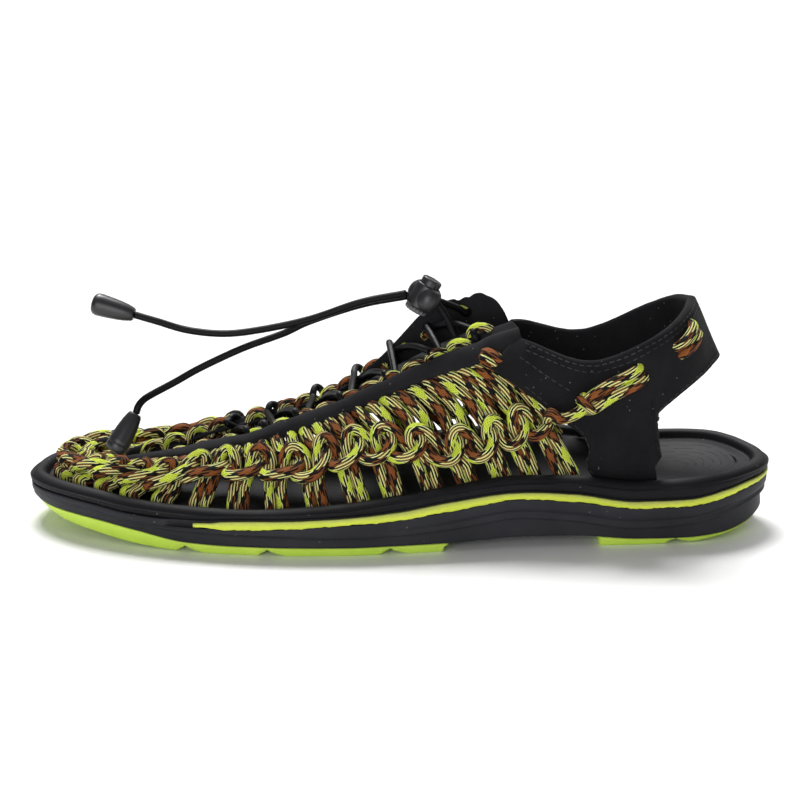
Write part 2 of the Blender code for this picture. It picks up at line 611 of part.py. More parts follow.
def build_weave():
    module = dict(zip(MODULE_COLUMNS, np.array(MODULE_ROWS, float).T))
    cells = len(MODULE_ROWS)
    steps = WEAVE_MODULES * WEAVE_FINE + 1
    outer_foot, outer_head = weave_edges("outer", steps)
    inner_foot, inner_head = weave_edges("inner", steps)
    foot = np.concatenate([outer_foot[::-1], inner_foot[1:]])
    head = np.concatenate([outer_head[::-1], inner_head[1:]])
    modules = 2 * WEAVE_MODULES
    along = np.array([m + part for m in range(modules) for part in module["along"]] + [float(modules)])
    pick = np.round(along * WEAVE_FINE).astype(int)
    foot = foot[pick]
    head = head[pick]

    # Each column climbs the last from foot to head; its rows lie at lengths set by the knot band.
    share = np.linspace(0, 1, 60)
    x = foot[:, None, 0] + (head - foot)[:, None, 0] * share
    y = foot[:, None, 1] + (head - foot)[:, None, 1] * share
    surface = np.stack([x, y, last_height(x, y)], axis=-1)
    climb = np.cumsum(np.linalg.norm(np.diff(surface, axis=1), axis=-1), axis=1)
    climb = np.concatenate([np.zeros((len(along), 1)), climb], axis=1)
    total = climb[:, -1]
    knot_up = column(KNOT_COLUMNS, KNOT_ROWS, "up", foot[:, 0])
    middle = np.minimum(knot_up, KNOT_SHARES["middle"] * total)
    half_band = np.minimum(KNOT_BAND / 2, KNOT_SHARES["half_band"] * total)
    low = np.maximum(middle - half_band, KNOT_SHARES["low"] * total)
    high = np.minimum(middle + half_band, KNOT_SHARES["high"] * total)
    rows = np.stack([0 * total, low / 2, low, middle, high, (high + total) / 2, total], axis=1)
    grid_share = np.stack([np.interp(r, c, share) for r, c in zip(rows, climb)])
    grid_x = foot[:, None, 0] + (head - foot)[:, None, 0] * grid_share
    grid_y = foot[:, None, 1] + (head - foot)[:, None, 1] * grid_share

    leg = np.append(np.tile(module["leg"], modules), module["leg"][0])
    knot = np.append(np.tile(module["knot"], modules), module["knot"][0])
    edge = leg + KNOT_EDGE_SHARE * (knot - leg)
    foot_proud = np.minimum(leg, FOOT_PROUD)
    head_proud = np.minimum(leg, HEAD_PROUD)
    proud = np.stack([foot_proud, leg, edge, knot, edge, leg, head_proud], axis=1)
    outer = last_point(grid_x, grid_y, proud)
    inner = last_point(grid_x, grid_y, np.zeros_like(proud))
    outer[:, 0, 2] = np.maximum(outer[:, 0, 2], inner[:, 0, 2])

    # Gaps stand between the leg pairs: below every knot, and above the knots where the legs are long.
    keep = np.ones((len(along) - 1, rows.shape[1] - 1), bool)
    gap_columns = np.arange(0, len(along) - 1, cells)
    keep[gap_columns, 0:2] = False
    far_back = np.abs(gap_columns / cells - WEAVE_MODULES) >= UPPER_GAPS_FROM
    keep[gap_columns[far_back], 4:6] = False
    keep[0, :] = True
    wall("upper_weave", outer, inner, keep, "cord")


def strip_grid(side):
    # Strip along the throat between two distances from the ridge; the rear end slants.
    across = np.array(STRIP_ROWS, float)[:, STRIP_COLUMNS.index("across")]
    end = STRIP_REAR_LOW + (STRIP_REAR_UP - STRIP_REAR_LOW) * across
    share = np.linspace(0, 1, STRIP_STATIONS)
    x = STRIP_FRONT + (end[None, :] - STRIP_FRONT) * share[:, None]
    low = last_column("strip_low", x)
    up = last_column("throat", x)
    distance = low + (up - low) * across
    y = np.stack([walk(x[:, k], side, distance[:, k]) for k in range(len(across))], axis=1)
    return x, y, across


def build_strips():
    for side in ("outer", "inner"):
        x, y, across = strip_grid(side)
        edge_dip = np.array(STRIP_ROWS, float)[:, STRIP_COLUMNS.index("edge_dip")]
        rise = np.zeros_like(x)
        if side == "inner":
            rise = column(TAB_COLUMNS, TAB_ROWS, "rise", x) * across ** TAB_POWER
        under = last_point(x, y, np.full_like(x, FIT_GAP))
        over = last_point(x, y, FIT_GAP + STRIP_THICK - np.broadcast_to(edge_dip, x.shape))
        under[..., 2] += rise
        over[..., 2] += rise
        keep = np.ones((x.shape[0] - 1, x.shape[1] - 1), bool)
        wall("eyestay_" + side, over, under, keep, "microfibre")


def build_tongue():
    across = np.linspace(-1, 1, TONGUE_LINES)
    share = np.linspace(0, 1, TONGUE_STATIONS)
    x = TONGUE_FRONT + (TONGUE_REAR - TONGUE_FRONT) * share[:, None] + TONGUE_BOW * (across ** 2 - 0.5)
    lines = []
    for k, part in enumerate(across):
        side = "outer" if part < 0 else "inner"
        lines.append(walk(x[:, k], side, np.full(len(share), abs(part) * TONGUE_HALF)))
    y = np.stack(lines, axis=1)
    over = last_point(x, y, np.zeros_like(x))
    under = last_point(x, y, np.full_like(x, -TONGUE_THICK))
    keep = np.ones((len(share) - 1, len(across) - 1), bool)
    wall("tongue", over, under, keep, "microfibre")


def strap_point(station, rise, side, lift):
    # Point on the strap's inner face at a station and a share of its height, moved outwards by lift.
    def at(where, up):
        table = np.array(STRAP_ROWS, float)
        spots = np.arange(len(table), dtype=float)
        get = {name: smooth_curve(spots, table[:, k], where) for k, name in enumerate(STRAP_COLUMNS)}
        sign = -1.0 if side == "outer" else 1.0
        y_low = sign * get[side + "_low"]
        y_up = sign * get[side + "_up"]
        floor = rim_height(get["x_low"], side) - RIM_FLOOR + FIT_GAP
        z_low = np.maximum(get["z_low"], floor + FIT_GAP / 2)
        swell = STRAP_BULGE * np.sin(math.pi * up) * sign
        swell *= np.minimum(1, get[side + "_low"] / STRAP_SWELL_REACH)
        return np.stack([get["x_low"] + (get["x_up"] - get["x_low"]) * up,
                         y_low + (y_up - y_low) * up + swell,
                         z_low + (get["z_up"] - z_low) * up], -1)

    small = 0.02
    last_station = len(STRAP_ROWS) - 1.0
    along = at(np.minimum(station + small, last_station), rise) - at(np.maximum(station - small, 0), rise)
    upward = at(station, np.minimum(rise + small, 1)) - at(station, np.maximum(rise - small, 0))
    normal = np.cross(upward, along)
    if side == "outer":
        normal = -normal
    at_back = (station > last_station - 1e-6)[..., None]
    normal = np.where(at_back, normal * (1, 0, 1), normal)
    normal /= np.linalg.norm(normal, axis=-1)[..., None]
    away = np.array((0.3, -1.0 if side == "outer" else 1.0, 0.0))
    facing = np.where((normal * away).sum(axis=-1, keepdims=True) < 0, -1.0, 1.0)
    return at(station, rise) + normal * facing * np.asarray(lift, float)[..., None]


def build_strap():
    stations = np.arange(0, len(STRAP_ROWS) - 0.5, 0.5)
    rise = np.linspace(0, 1, STRAP_RISE + 1)
    where, up = np.meshgrid(stations, rise, indexing="ij")
    edge = np.where((up < 1e-6) | (up > 1 - 1e-6), STRAP_EDGE, 0.0)
    faces_of = []
    for side in ("outer", "inner"):
        over = strap_point(where, up, side, STRAP_THICK - edge)
        under = strap_point(where, up, side, edge)
        for face in (over, under):
            floor = rim_height(face[:, 0, 0], side) - RIM_FLOOR + FIT_GAP
            face[:, 0, 2] = np.maximum(face[:, 0, 2], floor)
        faces_of.append((over, under))
    over = np.concatenate([faces_of[0][0], faces_of[1][0][:-1][::-1]])
    under = np.concatenate([faces_of[0][1], faces_of[1][1][:-1][::-1]])
    keep = np.ones((over.shape[0] - 1, over.shape[1] - 1), bool)
    wall("heel_strap", over, under, keep, "microfibre")


def build_loops():
    for name, route, count in (("side_loop", SIDE_LOOP, 14), ("heel_loop", HEEL_LOOP, 10)):
        for side in ("outer", "inner"):
            spots = np.array(route, float)
            lift = np.full(len(spots), STRAP_THICK + LOOP_GAP + CORD / 2)
            run = strap_point(spots[:, 0], spots[:, 1], side, lift)
            heading = run[-1] - run[0]
            heading /= np.linalg.norm(heading)
            outward = strap_point(spots[:1, 0], spots[:1, 1], side, lift[:1] + 5)[0] - run[0]
            aside = np.cross(heading, outward)
            aside *= LOOP_SPREAD / 2 / np.linalg.norm(aside)
            turn = run[-1] + heading * LOOP_SPREAD * 0.7
            path = np.concatenate([run + aside, [turn], run[::-1] - aside])
            tube(name + "_" + side, smooth_path(path, count), CORD / 2, 6, "cord")


def lace_strand(first_side):
    # One strand: it zigzags between the strips' throat edges row by row, then runs back to the lock.
    route = []
    side = first_side
    for x in LACE_ROWS:
        place = np.array([x])
        rise = float(column(TAB_COLUMNS, TAB_ROWS, "rise", x)) if side == "inner" else 0.0
        y = walk(place, side, last_column("throat", place) - LACE_THROAT_REACH - LACE_TAB_SHARE * rise)
        spot = last_point(place, y, np.array([LACE_LIFT]))[0] + (0.0, 0.0, LACE_TAB_SHARE * rise)
        if route:
            route.append((route[-1] + spot) / 2 + (0.0, 0.0, LACE_BOW))
        route.append(spot)
        side = "inner" if side == "outer" else "outer"
    twin = -LOCK_TWIN if first_side == "outer" else LOCK_TWIN
    entry = np.array(LOCK_CENTRE) + (LOCK_BALL + LOCK_ENTRY, twin, -LOCK_ENTRY_DROP)
    route.append(entry + LOCK_RUN_IN)
    route.append(entry)
    return smooth_path(route, LACE_POINTS)


def build_lace():
    strand = tube("lace_crossings", lace_strand("outer"), LACE / 2, 6, "elastic")
    other = tube("lace_other_strand", lace_strand("inner"), LACE / 2, 6, "elastic")
    other.hide_render = True
    other.display_type = "WIRE"
    union = strand.modifiers.new("joined", "BOOLEAN")
    union.operation = "UNION"
    union.object = other


def lace_end(name, route, tip):
    path = smooth_path(route, END_POINTS)
    line = bpy.data.curves.new(name, "CURVE")
    line.dimensions = "3D"
    line.bevel_depth = LACE / 2 * MILLIMETRE
    line.bevel_resolution = 2
    line.use_fill_caps = True
    spline = line.splines.new("POLY")
    spline.points.add(len(path) - 1)
    for point, place in zip(spline.points, path):
        point.co = (*(place * MILLIMETRE), 1.0)
    node = bpy.data.objects.new(name, line)
    bpy.context.scene.collection.objects.link(node)
    dress(node, "elastic")
    heading = path[-1] - path[-2]
    heading /= np.linalg.norm(heading)
    profile = dict(zip(TIP_COLUMNS, np.array(TIP_RADII, float).T))
    along = TIP_GAP + TIP_LENGTH * profile["share"]
    tube(tip, path[-1] + heading * along[:, None], profile["radius"], 8, "black_plastic")


def turned(name, profile):
    # Solid of revolution about +Z from rows of radius and height.
    turn = np.arange(LOCK_SIDES) * 2 * math.pi / LOCK_SIDES
    rings = [np.column_stack([radius * np.cos(turn), radius * np.sin(turn), np.full(LOCK_SIDES, height)])
             for radius, height in profile]
    faces = stacked_faces(len(rings), LOCK_SIDES)
    return make_node(name, np.concatenate(rings), faces, "black_plastic", smooth=40.0)


def build_lock():
    # Twin-ball body with a bore from the top, and the press button that slides in it.
    lean = Matrix.Rotation(math.radians(LOCK_LEAN), 4, "Y")
    frame = Matrix.Translation(Vector(LOCK_CENTRE) * MILLIMETRE) @ lean
    arc = np.linspace(-LOCK_BALL_ARC, LOCK_BALL_ARC, 9)
    ball = np.column_stack([LOCK_BALL * np.cos(arc), LOCK_BALL * np.sin(arc)])
    body = turned("lock_body", ball)
    twin = turned("lock_twin", ball)
    foot = turned("lock_foot", LOCK_FOOT_ROWS)
    bore = turned("lock_bore", LOCK_BORE_ROWS)
    button = turned("lock_button", BUTTON_ROWS)
    aside = Matrix.Translation((0.0, LOCK_TWIN * MILLIMETRE, 0.0))
    body.matrix_world = frame @ aside.inverted()
    twin.matrix_world = frame @ aside
    for piece in (foot, bore, button):
        piece.matrix_world = frame
    for cutter, action in ((twin, "UNION"), (foot, "UNION"), (bore, "DIFFERENCE")):
        cutter.hide_render = True
        cutter.display_type = "WIRE"
        cut = body.modifiers.new(cutter.name, "BOOLEAN")
        cut.operation = action
        cut.object = cutter


def main():
    for thing in list(bpy.data.objects):
        bpy.data.objects.remove(thing, do_unlink=True)
    build_outsole()
    build_midsole()
    build_stripe()
    build_footbed()
    build_weave()
    build_strips()
    build_tongue()
    build_strap()
    build_loops()
    build_lace()
    lace_end("lace_end_upper", END_UPPER, "lace_tip_upper")
    lace_end("lace_end_lower", END_LOWER, "lace_tip_lower")
    build_lock()


main()
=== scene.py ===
import math

import bpy
import numpy as np
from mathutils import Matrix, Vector


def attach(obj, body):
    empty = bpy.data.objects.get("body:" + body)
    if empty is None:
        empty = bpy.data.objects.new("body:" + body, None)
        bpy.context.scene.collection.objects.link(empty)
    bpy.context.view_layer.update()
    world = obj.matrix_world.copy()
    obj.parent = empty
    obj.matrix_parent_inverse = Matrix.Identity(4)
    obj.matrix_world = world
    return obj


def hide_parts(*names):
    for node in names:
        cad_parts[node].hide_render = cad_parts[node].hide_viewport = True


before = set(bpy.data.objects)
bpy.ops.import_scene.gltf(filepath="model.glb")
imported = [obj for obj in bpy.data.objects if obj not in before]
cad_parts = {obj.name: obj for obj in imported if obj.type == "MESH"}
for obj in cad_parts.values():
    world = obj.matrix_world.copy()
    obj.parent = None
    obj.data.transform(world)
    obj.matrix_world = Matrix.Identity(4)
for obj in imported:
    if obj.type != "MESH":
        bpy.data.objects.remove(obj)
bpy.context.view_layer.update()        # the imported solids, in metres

# Woven sandal for the left foot: toe at -X, outer side at -Y. Sizes are in millimetres until a mesh is made.
mm = 0.001
shoe = {"halfLength": 146.0, "cord": 4.5, "lace": 2.8, "rimFloor": 3.4, "gap": 0.4, "seed": 7}
outer, inner = -1.0, 1.0
draw = np.random.default_rng(shoe["seed"])

# The sole from toe to heel: half widths of its plan, then heights of the lines along its side.
soleColumns = ("x", "outer", "inner", "bottom", "padTop", "rib", "stripeLow", "seam", "rim", "arch")
soleRows = np.array((
    (-146, -5.0, 5.0, 8.0, 10.5, 12.5, 14.0, 16.0, 20.0, 0.0),
    (-144, 5.0, 19.0, 7.4, 10.2, 12.4, 14.0, 16.0, 20.3, 0.0),
    (-139, 13.5, 28.5, 6.2, 9.6, 12.2, 14.0, 16.2, 20.5, 0.0),
    (-131, 22.0, 37.0, 4.6, 9.5, 12.2, 14.0, 16.4, 20.6, 0.0),
    (-118, 31.0, 44.0, 3.0, 9.0, 11.6, 13.5, 15.9, 20.3, 0.0),
    (-100, 40.0, 49.0, 1.0, 7.2, 9.8, 11.6, 14.4, 18.9, 0.0),
    (-79, 46.5, 51.5, 0.0, 4.3, 8.6, 10.9, 13.9, 18.2, 0.0),
    (-59, 50.0, 51.5, 0.0, 3.8, 8.3, 10.9, 15.0, 17.9, 0.0),
    (-39, 51.5, 48.5, 0.0, 3.7, 7.8, 11.9, 15.6, 18.9, 0.5),
    (-19, 51.0, 43.0, 0.0, 3.6, 7.4, 13.1, 16.6, 20.6, 1.2),
    (1, 48.5, 37.5, 0.0, 3.7, 7.9, 14.4, 18.3, 23.0, 2.0),
    (21, 45.0, 34.0, 0.0, 3.8, 9.3, 17.0, 21.2, 25.9, 2.5),
    (46, 41.0, 32.0, 0.0, 5.0, 12.4, 20.3, 23.7, 28.8, 2.5),
    (66, 38.8, 32.5, 0.0, 4.8, 10.7, 18.9, 22.5, 28.2, 2.5),
    (91, 37.0, 33.5, 0.0, 3.0, 7.2, 15.6, 19.0, 25.4, 2.5),
    (111, 34.5, 32.0, 0.2, 2.7, 8.1, 15.7, 19.2, 26.0, 3.3),
    (126, 29.5, 27.0, 1.5, 3.4, 10.5, 18.2, 21.6, 27.2, 3.0),
    (136, 22.0, 20.0, 3.5, 5.0, 12.9, 20.3, 23.2, 27.9, 1.8),
    (143, 12.5, 11.5, 5.5, 7.2, 14.5, 21.0, 23.6, 28.0, 0.5),
    (146, 0.0, 0.0, 6.5, 8.2, 15.0, 21.3, 23.9, 27.9, 0.0),
), float)
# The foot's form: its ridge line, and how far from the ridge the throat strips begin and end.
lastColumns = ("x", "shift", "height", "throat", "stripLow")
lastRows = np.array((
    (-137, 4.0, 16.8, 1.0, 6.0), (-124, 4.0, 18.0, 1.0, 6.0), (-111, 4.0, 20.0, 2.0, 7.5),
    (-99, 4.0, 22.6, 4.0, 11.0), (-86, 3.8, 26.4, 7.5, 16.0), (-75, 3.5, 30.6, 10.3, 19.8),
    (-56, 3.0, 36.0, 12.3, 21.0), (-40, 2.5, 42.5, 12.6, 21.4), (-25, 2.0, 48.5, 12.6, 21.2),
    (-12, 1.5, 55.0, 12.4, 20.8), (3, 1.0, 63.0, 12.5, 20.8), (18, 0.0, 71.0, 12.8, 21.2),
    (33, -1.0, 78.0, 13.2, 22.2), (50, -1.0, 85.5, 13.8, 23.0),
), float)
last = {"power": 2.4, "inset": 11.5}


def smoothCurve(known, values, wanted):
    # Cubic through the known values that never overshoots them.
    known, values, wanted = (np.asarray(a, float) for a in (known, values, wanted))
    step = np.diff(known)
    slope = np.diff(values) / step
    bend = np.zeros(len(known))
    bend[0], bend[-1] = slope[0], slope[-1]
    sameWay = slope[:-1] * slope[1:] > 0
    product = np.where(sameWay, slope[:-1] * slope[1:], 1.0)
    weight = np.where(sameWay, step[1:] * slope[1:] + step[:-1] * slope[:-1], 1.0)
    bend[1:-1] = np.where(sameWay, product * (step[:-1] + step[1:]) / weight, 0.0)
    cell = np.clip(np.searchsorted(known, wanted) - 1, 0, len(step) - 1)
    part = (wanted - known[cell]) / step[cell]
    rest = 1 - part
    return ((1 + 2 * part) * rest ** 2 * values[cell] + part * rest ** 2 * step[cell] * bend[cell]
            + part ** 2 * (3 - 2 * part) * values[cell + 1] - part ** 2 * rest * step[cell] * bend[cell + 1])


def angleOf(x):
    # Angle round the plan, 0 at the toe: the arc cosine of minus x over half the length.
    return np.arccos(np.clip(-np.asarray(x, float) / shoe["halfLength"], -1, 1))


def xOf(angle):
    # The reverse: minus half the length times the cosine of the angle.
    return -shoe["halfLength"] * np.cos(angle)


def soleAt(name, x):
    # Column of the sole read by the angle of x, so that toe and heel come out round.
    return smoothCurve(angleOf(soleRows[:, 0]), soleRows[:, soleColumns.index(name)], angleOf(x))


def rimAt(x, side):
    # Height of the footbed's rim; the inner side adds the arch.
    return soleAt("rim", x) + np.where(np.asarray(side) > 0, soleAt("arch", x), 0.0)


def lastAt(name, x):
    # Column of the foot's form at x, held beyond its ends.
    x = np.clip(x, lastRows[0, 0], lastRows[-1, 0])
    return smoothCurve(lastRows[:, 0], lastRows[:, lastColumns.index(name)], x)


def planEdge(angle, side, inset):
    # Plan outline at the angles, moved inwards at right angles by the inset.
    angle = np.asarray(angle, float)
    name = "outer" if side < 0 else "inner"
    small = 0.004
    spots = [np.clip(angle + d, 0, math.pi) for d in (-small, 0, small)]
    place = [np.stack([xOf(a), side * soleAt(name, xOf(a))], -1) for a in spots]
    tangent = unit(place[2] - place[0])
    inward = np.stack([tangent[..., 1], -tangent[..., 0]], -1) * side
    tip = (angle < small) | (angle > math.pi - small)
    straight = np.stack([np.where(angle < 1, 1.0, -1.0), 0 * angle], -1)
    inward = np.where(tip[..., None], straight, inward)
    return place[1] + inward * np.broadcast_to(np.asarray(inset, float), angle.shape)[..., None]


def lastHeight(x, y):
    # A ridge with rounded sections that fall to the footbed on both sides.
    ridge = lastAt("shift", x)
    outerReach = ridge - last["inset"] + soleAt("outer", x)
    innerReach = soleAt("inner", x) - last["inset"] - ridge
    reach = np.where(y < ridge, outerReach, innerReach)
    share = np.clip(np.abs(y - ridge) / np.maximum(reach, 1.0), 0.0, 1.0)
    arch = np.where(y < ridge, 0.0, soleAt("arch", x)) * share
    foot = soleAt("rim", x) + arch - shoe["rimFloor"] + shoe["gap"]
    return foot + (lastAt("height", x) - foot) * (1 - share ** last["power"])


def lastPoint(x, y, lift):
    # Point at a given distance off the foot's form, along its own normal.
    x, y, lift = np.broadcast_arrays(*(np.asarray(a, float) for a in (x, y, lift)))
    small = 0.6
    slopeX = (lastHeight(x + small, y) - lastHeight(x - small, y)) / (2 * small)
    slopeY = (lastHeight(x, y + small) - lastHeight(x, y - small)) / (2 * small)
    normal = unit(np.stack([-slopeX, -slopeY, np.ones_like(slopeX)], -1))
    return np.stack([x, y, lastHeight(x, y)], -1) + normal * lift[..., None]


def walk(x, side, distance):
    # Side position y that lies the given distance from the ridge along the section at x.
    x, distance = np.broadcast_arrays(np.asarray(x, float), np.asarray(distance, float))
    away = np.linspace(0.0, 45.0, 181)
    y = lastAt("shift", x)[..., None] + side * away
    z = lastHeight(np.broadcast_to(x[..., None], y.shape), y)
    step = np.hypot(np.diff(y, axis=-1), np.diff(z, axis=-1))
    before = np.cumsum(step, axis=-1) - step
    done = np.clip((distance[..., None] - before) / step, 0, 1)      # share of each step that is walked
    return y[..., 0] + side * away[1] * done.sum(axis=-1)


def smoothPath(points, count):
    # Evenly spaced points on a smooth curve through the given ones.
    points = np.asarray(points, float)
    padded = np.concatenate([[2 * points[0] - points[1]], points, [2 * points[-1] - points[-2]]])
    span = np.concatenate([[0.0], np.cumsum(np.linalg.norm(np.diff(points, axis=0), axis=1))])
    fine = np.linspace(0, span[-1], 40 * len(points))
    cell = np.clip(np.searchsorted(span, fine) - 1, 0, len(points) - 2)
    part = ((fine - span[cell]) / (span[cell + 1] - span[cell]))[:, None]
    before, here, there, after = (padded[cell + k] for k in range(4))
    curve = 0.5 * (2 * here + (there - before) * part
                   + (2 * before - 5 * here + 4 * there - after) * part ** 2
                   + (3 * here - before - 3 * there + after) * part ** 3)
    return evenPath(curve, count)


def evenPath(curve, count):
    # The curve read at even distances along its length.
    run = np.concatenate([[0.0], np.cumsum(np.linalg.norm(np.diff(curve, axis=0), axis=1))])
    even = np.linspace(0, run[-1], count)
    return np.stack([np.interp(even, run, curve[:, k]) for k in range(curve.shape[1])], -1)


def unit(vectors):
    # Each vector over its length.
    return vectors / np.linalg.norm(vectors, axis=-1, keepdims=True)


# Meshes from arrays: faces are index arrays, one array for each number of corners.
def makePiece(name, points, faces, finish, slot, replaced=(), cornerUv=None, body="sandal", marks=None):
    points = np.asarray(points, float).reshape(-1, 3)
    faces = [np.asarray(f, np.int64) for f in faces if len(f)]
    volume = sum(np.einsum("ij,ij->i", points[f[:, 0]], np.cross(points[f[:, k]], points[f[:, k + 1]])).sum()
                 for f in faces for k in range(1, f.shape[1] - 1))
    if volume < 0:                                   # turn the whole shell outwards
        faces = [f[:, ::-1] for f in faces]
        cornerUv = None if cornerUv is None else [uv[:, ::-1] for uv in cornerUv]
    corners = np.concatenate([f.ravel() for f in faces])
    sizes = np.concatenate([np.full(len(f), f.shape[1]) for f in faces])
    mesh = bpy.data.meshes.new(name)
    mesh.vertices.add(len(points))
    mesh.vertices.foreach_set("co", (points * mm).astype(np.float32).ravel())
    mesh.loops.add(len(corners))
    mesh.loops.foreach_set("vertex_index", corners.astype(np.int32))
    mesh.polygons.add(len(sizes))
    mesh.polygons.foreach_set("loop_start", (np.cumsum(sizes) - sizes).astype(np.int32))
    if cornerUv is not None:
        layer = mesh.uv_layers.new(name="along")
        flat = np.concatenate([uv.reshape(-1, 2) for uv in cornerUv])
        layer.data.foreach_set("uv", flat.astype(np.float32).ravel())
    for key, values in (marks or {}).items():
        attribute = mesh.attributes.new(name=key, type="FLOAT", domain="POINT")
        attribute.data.foreach_set("value", values.astype(np.float32))
    mesh.update(calc_edges=True)
    mesh.validate()
    mesh.shade_smooth()
    mesh.materials.append(finish)
    piece = bpy.data.objects.new(name, mesh)
    bpy.context.scene.collection.objects.link(piece)
    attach(piece, body)
    if replaced:
        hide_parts(*replaced)
    return piece


def gridFaces(rows, columns):
    # Quads of a grid of points in row order, with its last column joined to its first.
    r, c = np.meshgrid(np.arange(rows - 1), np.arange(columns), indexing="ij")
    here, aside = r * columns + c, r * columns + (c + 1) % columns
    return np.stack([here, aside, aside + columns, here + columns], -1).reshape(-1, 4)


def shell(section):
    # Closed shell from a grid of closed sections (stations, points, 3): both end sections get a middle point.
    stations, count = section.shape[:2]
    points = np.concatenate([section.reshape(-1, 3), section[0].mean(0)[None], section[-1].mean(0)[None]])
    k = np.arange(count)
    after = (k + 1) % count
    first = np.stack([after, k, np.full(count, stations * count)], -1)
    end = (stations - 1) * count
    final = np.stack([end + k, end + after, np.full(count, stations * count + 1)], -1)
    return points, [gridFaces(stations, count), np.concatenate([first, final])]


def carriedFrames(paths):
    # Heading and two cross directions along each path, carried from station to station without twist.
    heading = unit(np.gradient(paths, axis=1))
    across = np.cross(heading[:, 0], (0.0, 0.0, 1.0))
    weak = np.linalg.norm(across, axis=-1) < 0.1
    across[weak] = np.cross(heading[weak, 0], (0.0, 1.0, 0.0))
    sideways = np.empty_like(paths)
    for k in range(paths.shape[1]):                  # one step for every path at once
        across = unit(across - heading[:, k] * (across * heading[:, k]).sum(-1, keepdims=True))
        sideways[:, k] = across
    return heading, sideways, np.cross(sideways, heading)


def tubes(paths, radius, sides, stitch):
    # Round cords along paths (cords, stations, 3): a circle carried along each path, closed by round ends.
    paths = np.asarray(paths, float)
    count, stations = paths.shape[:2]
    heading, sideways, upward = carriedFrames(paths)
    turn = np.arange(sides) * 2 * math.pi / sides
    radius = np.broadcast_to(np.asarray(radius, float), (count, stations))[..., None, None]
    ringed = paths[:, :, None] + radius * (np.cos(turn)[:, None] * sideways[:, :, None]
                                           + np.sin(turn)[:, None] * upward[:, :, None])
    ends = np.stack([paths[:, 0] - heading[:, 0] * radius[:, 0, 0] * 0.6,
                     paths[:, -1] + heading[:, -1] * radius[:, -1, 0] * 0.6], 1)
    body = ringed.reshape(-1, 3)
    points = np.concatenate([body, ends.reshape(-1, 3)])
    base = (np.arange(count) * stations * sides)[:, None, None]
    quads = (gridFaces(stations, sides)[None] + base).reshape(-1, 4)
    k = np.arange(sides)
    after = (k + 1) % sides
    pole = len(body) + np.arange(count)[:, None] * 2
    low = np.stack([after + 0 * pole, k + 0 * pole, pole + 0 * k], -1) + base * (1, 1, 0)
    top = base + (stations - 1) * sides
    high = np.stack([k + 0 * pole, after + 0 * pole, pole + 1 + 0 * k], -1) + top * (1, 1, 0)
    step = np.linalg.norm(np.diff(paths, axis=1), axis=-1)
    run = np.concatenate([np.zeros((count, 1)), np.cumsum(step, 1)], 1) / stitch
    run = run + draw.integers(0, 64, (count, 1))     # each cord starts at another place of the pattern
    spin = draw.integers(0, 16, (count, 1, 1)) / 16
    r, c = np.meshgrid(np.arange(stations - 1), np.arange(sides), indexing="ij")
    around = np.stack([c, c + 1, c + 1, c], -1)[None] / sides + spin[..., None]
    along = np.stack([run[:, r], run[:, r], run[:, r + 1], run[:, r + 1]], -1)
    quadUv = np.stack([np.broadcast_to(around, along.shape), along], -1).reshape(-1, 4, 2)
    atEnd = (count, sides)
    lowUv = np.stack([np.broadcast_to(k / sides, atEnd), np.broadcast_to(run[:, :1], atEnd)], -1)
    highUv = np.stack([lowUv[..., 0], np.broadcast_to(run[:, -1:], atEnd)], -1)
    triUv = np.repeat(np.concatenate([lowUv, highUv]).reshape(-1, 1, 2), 3, axis=1)
    return points, [quads, np.concatenate([low.reshape(-1, 3), high.reshape(-1, 3)])], [quadUv, triUv]


def joined(parts):
    # Several surfaces as one: lists of (points, faces by size, corner uvs by size).
    points, quads, tris, quadUv, triUv = [], [], [], [], []
    used = 0
    for spots, (four, three), (fourUv, threeUv) in parts:
        points.append(spots)
        quads.append(four + used)
        tris.append(three + used)
        quadUv.append(fourUv)
        triUv.append(threeUv)
        used += len(spots)
    return (np.concatenate(points), [np.concatenate(quads), np.concatenate(tris)],
            [np.concatenate(quadUv), np.concatenate(triUv)])


# Finishes: Wire wraps a socket so that sums on values become Math nodes; Finish makes every other node.
def bothWays(kind):
    # Two methods that make a Math node of a pair of values, and of the same pair in reverse.
    def straight(self, other):
        return self.sum(kind, self, other)

    def reflected(self, other):
        return self.sum(kind, other, self)

    return straight, reflected


class Wire:
    def __init__(self, finish, socket):
        self.finish, self.socket = finish, socket

    def sum(self, kind, *values):
        return self.finish.node("ShaderNodeMath", {"operation": kind}, dict(enumerate(values)))

    __add__, __radd__ = bothWays("ADD")
    __sub__, __rsub__ = bothWays("SUBTRACT")
    __mul__, __rmul__ = bothWays("MULTIPLY")
    __truediv__, __rtruediv__ = bothWays("DIVIDE")
    __pow__, __rpow__ = bothWays("POWER")
    __mod__, __rmod__ = bothWays("FLOORED_MODULO")

    def __gt__(self, other):
        return self.sum("GREATER_THAN", self, other)

    def __lt__(self, other):
        return self.sum("LESS_THAN", self, other)

    def __abs__(self):
        return self.sum("ABSOLUTE", self)

    def floor(self):
        return self.sum("FLOOR", self)

    def fract(self):
        return self.sum("FRACT", self)

    def sine(self):
        return self.sum("SINE", self)


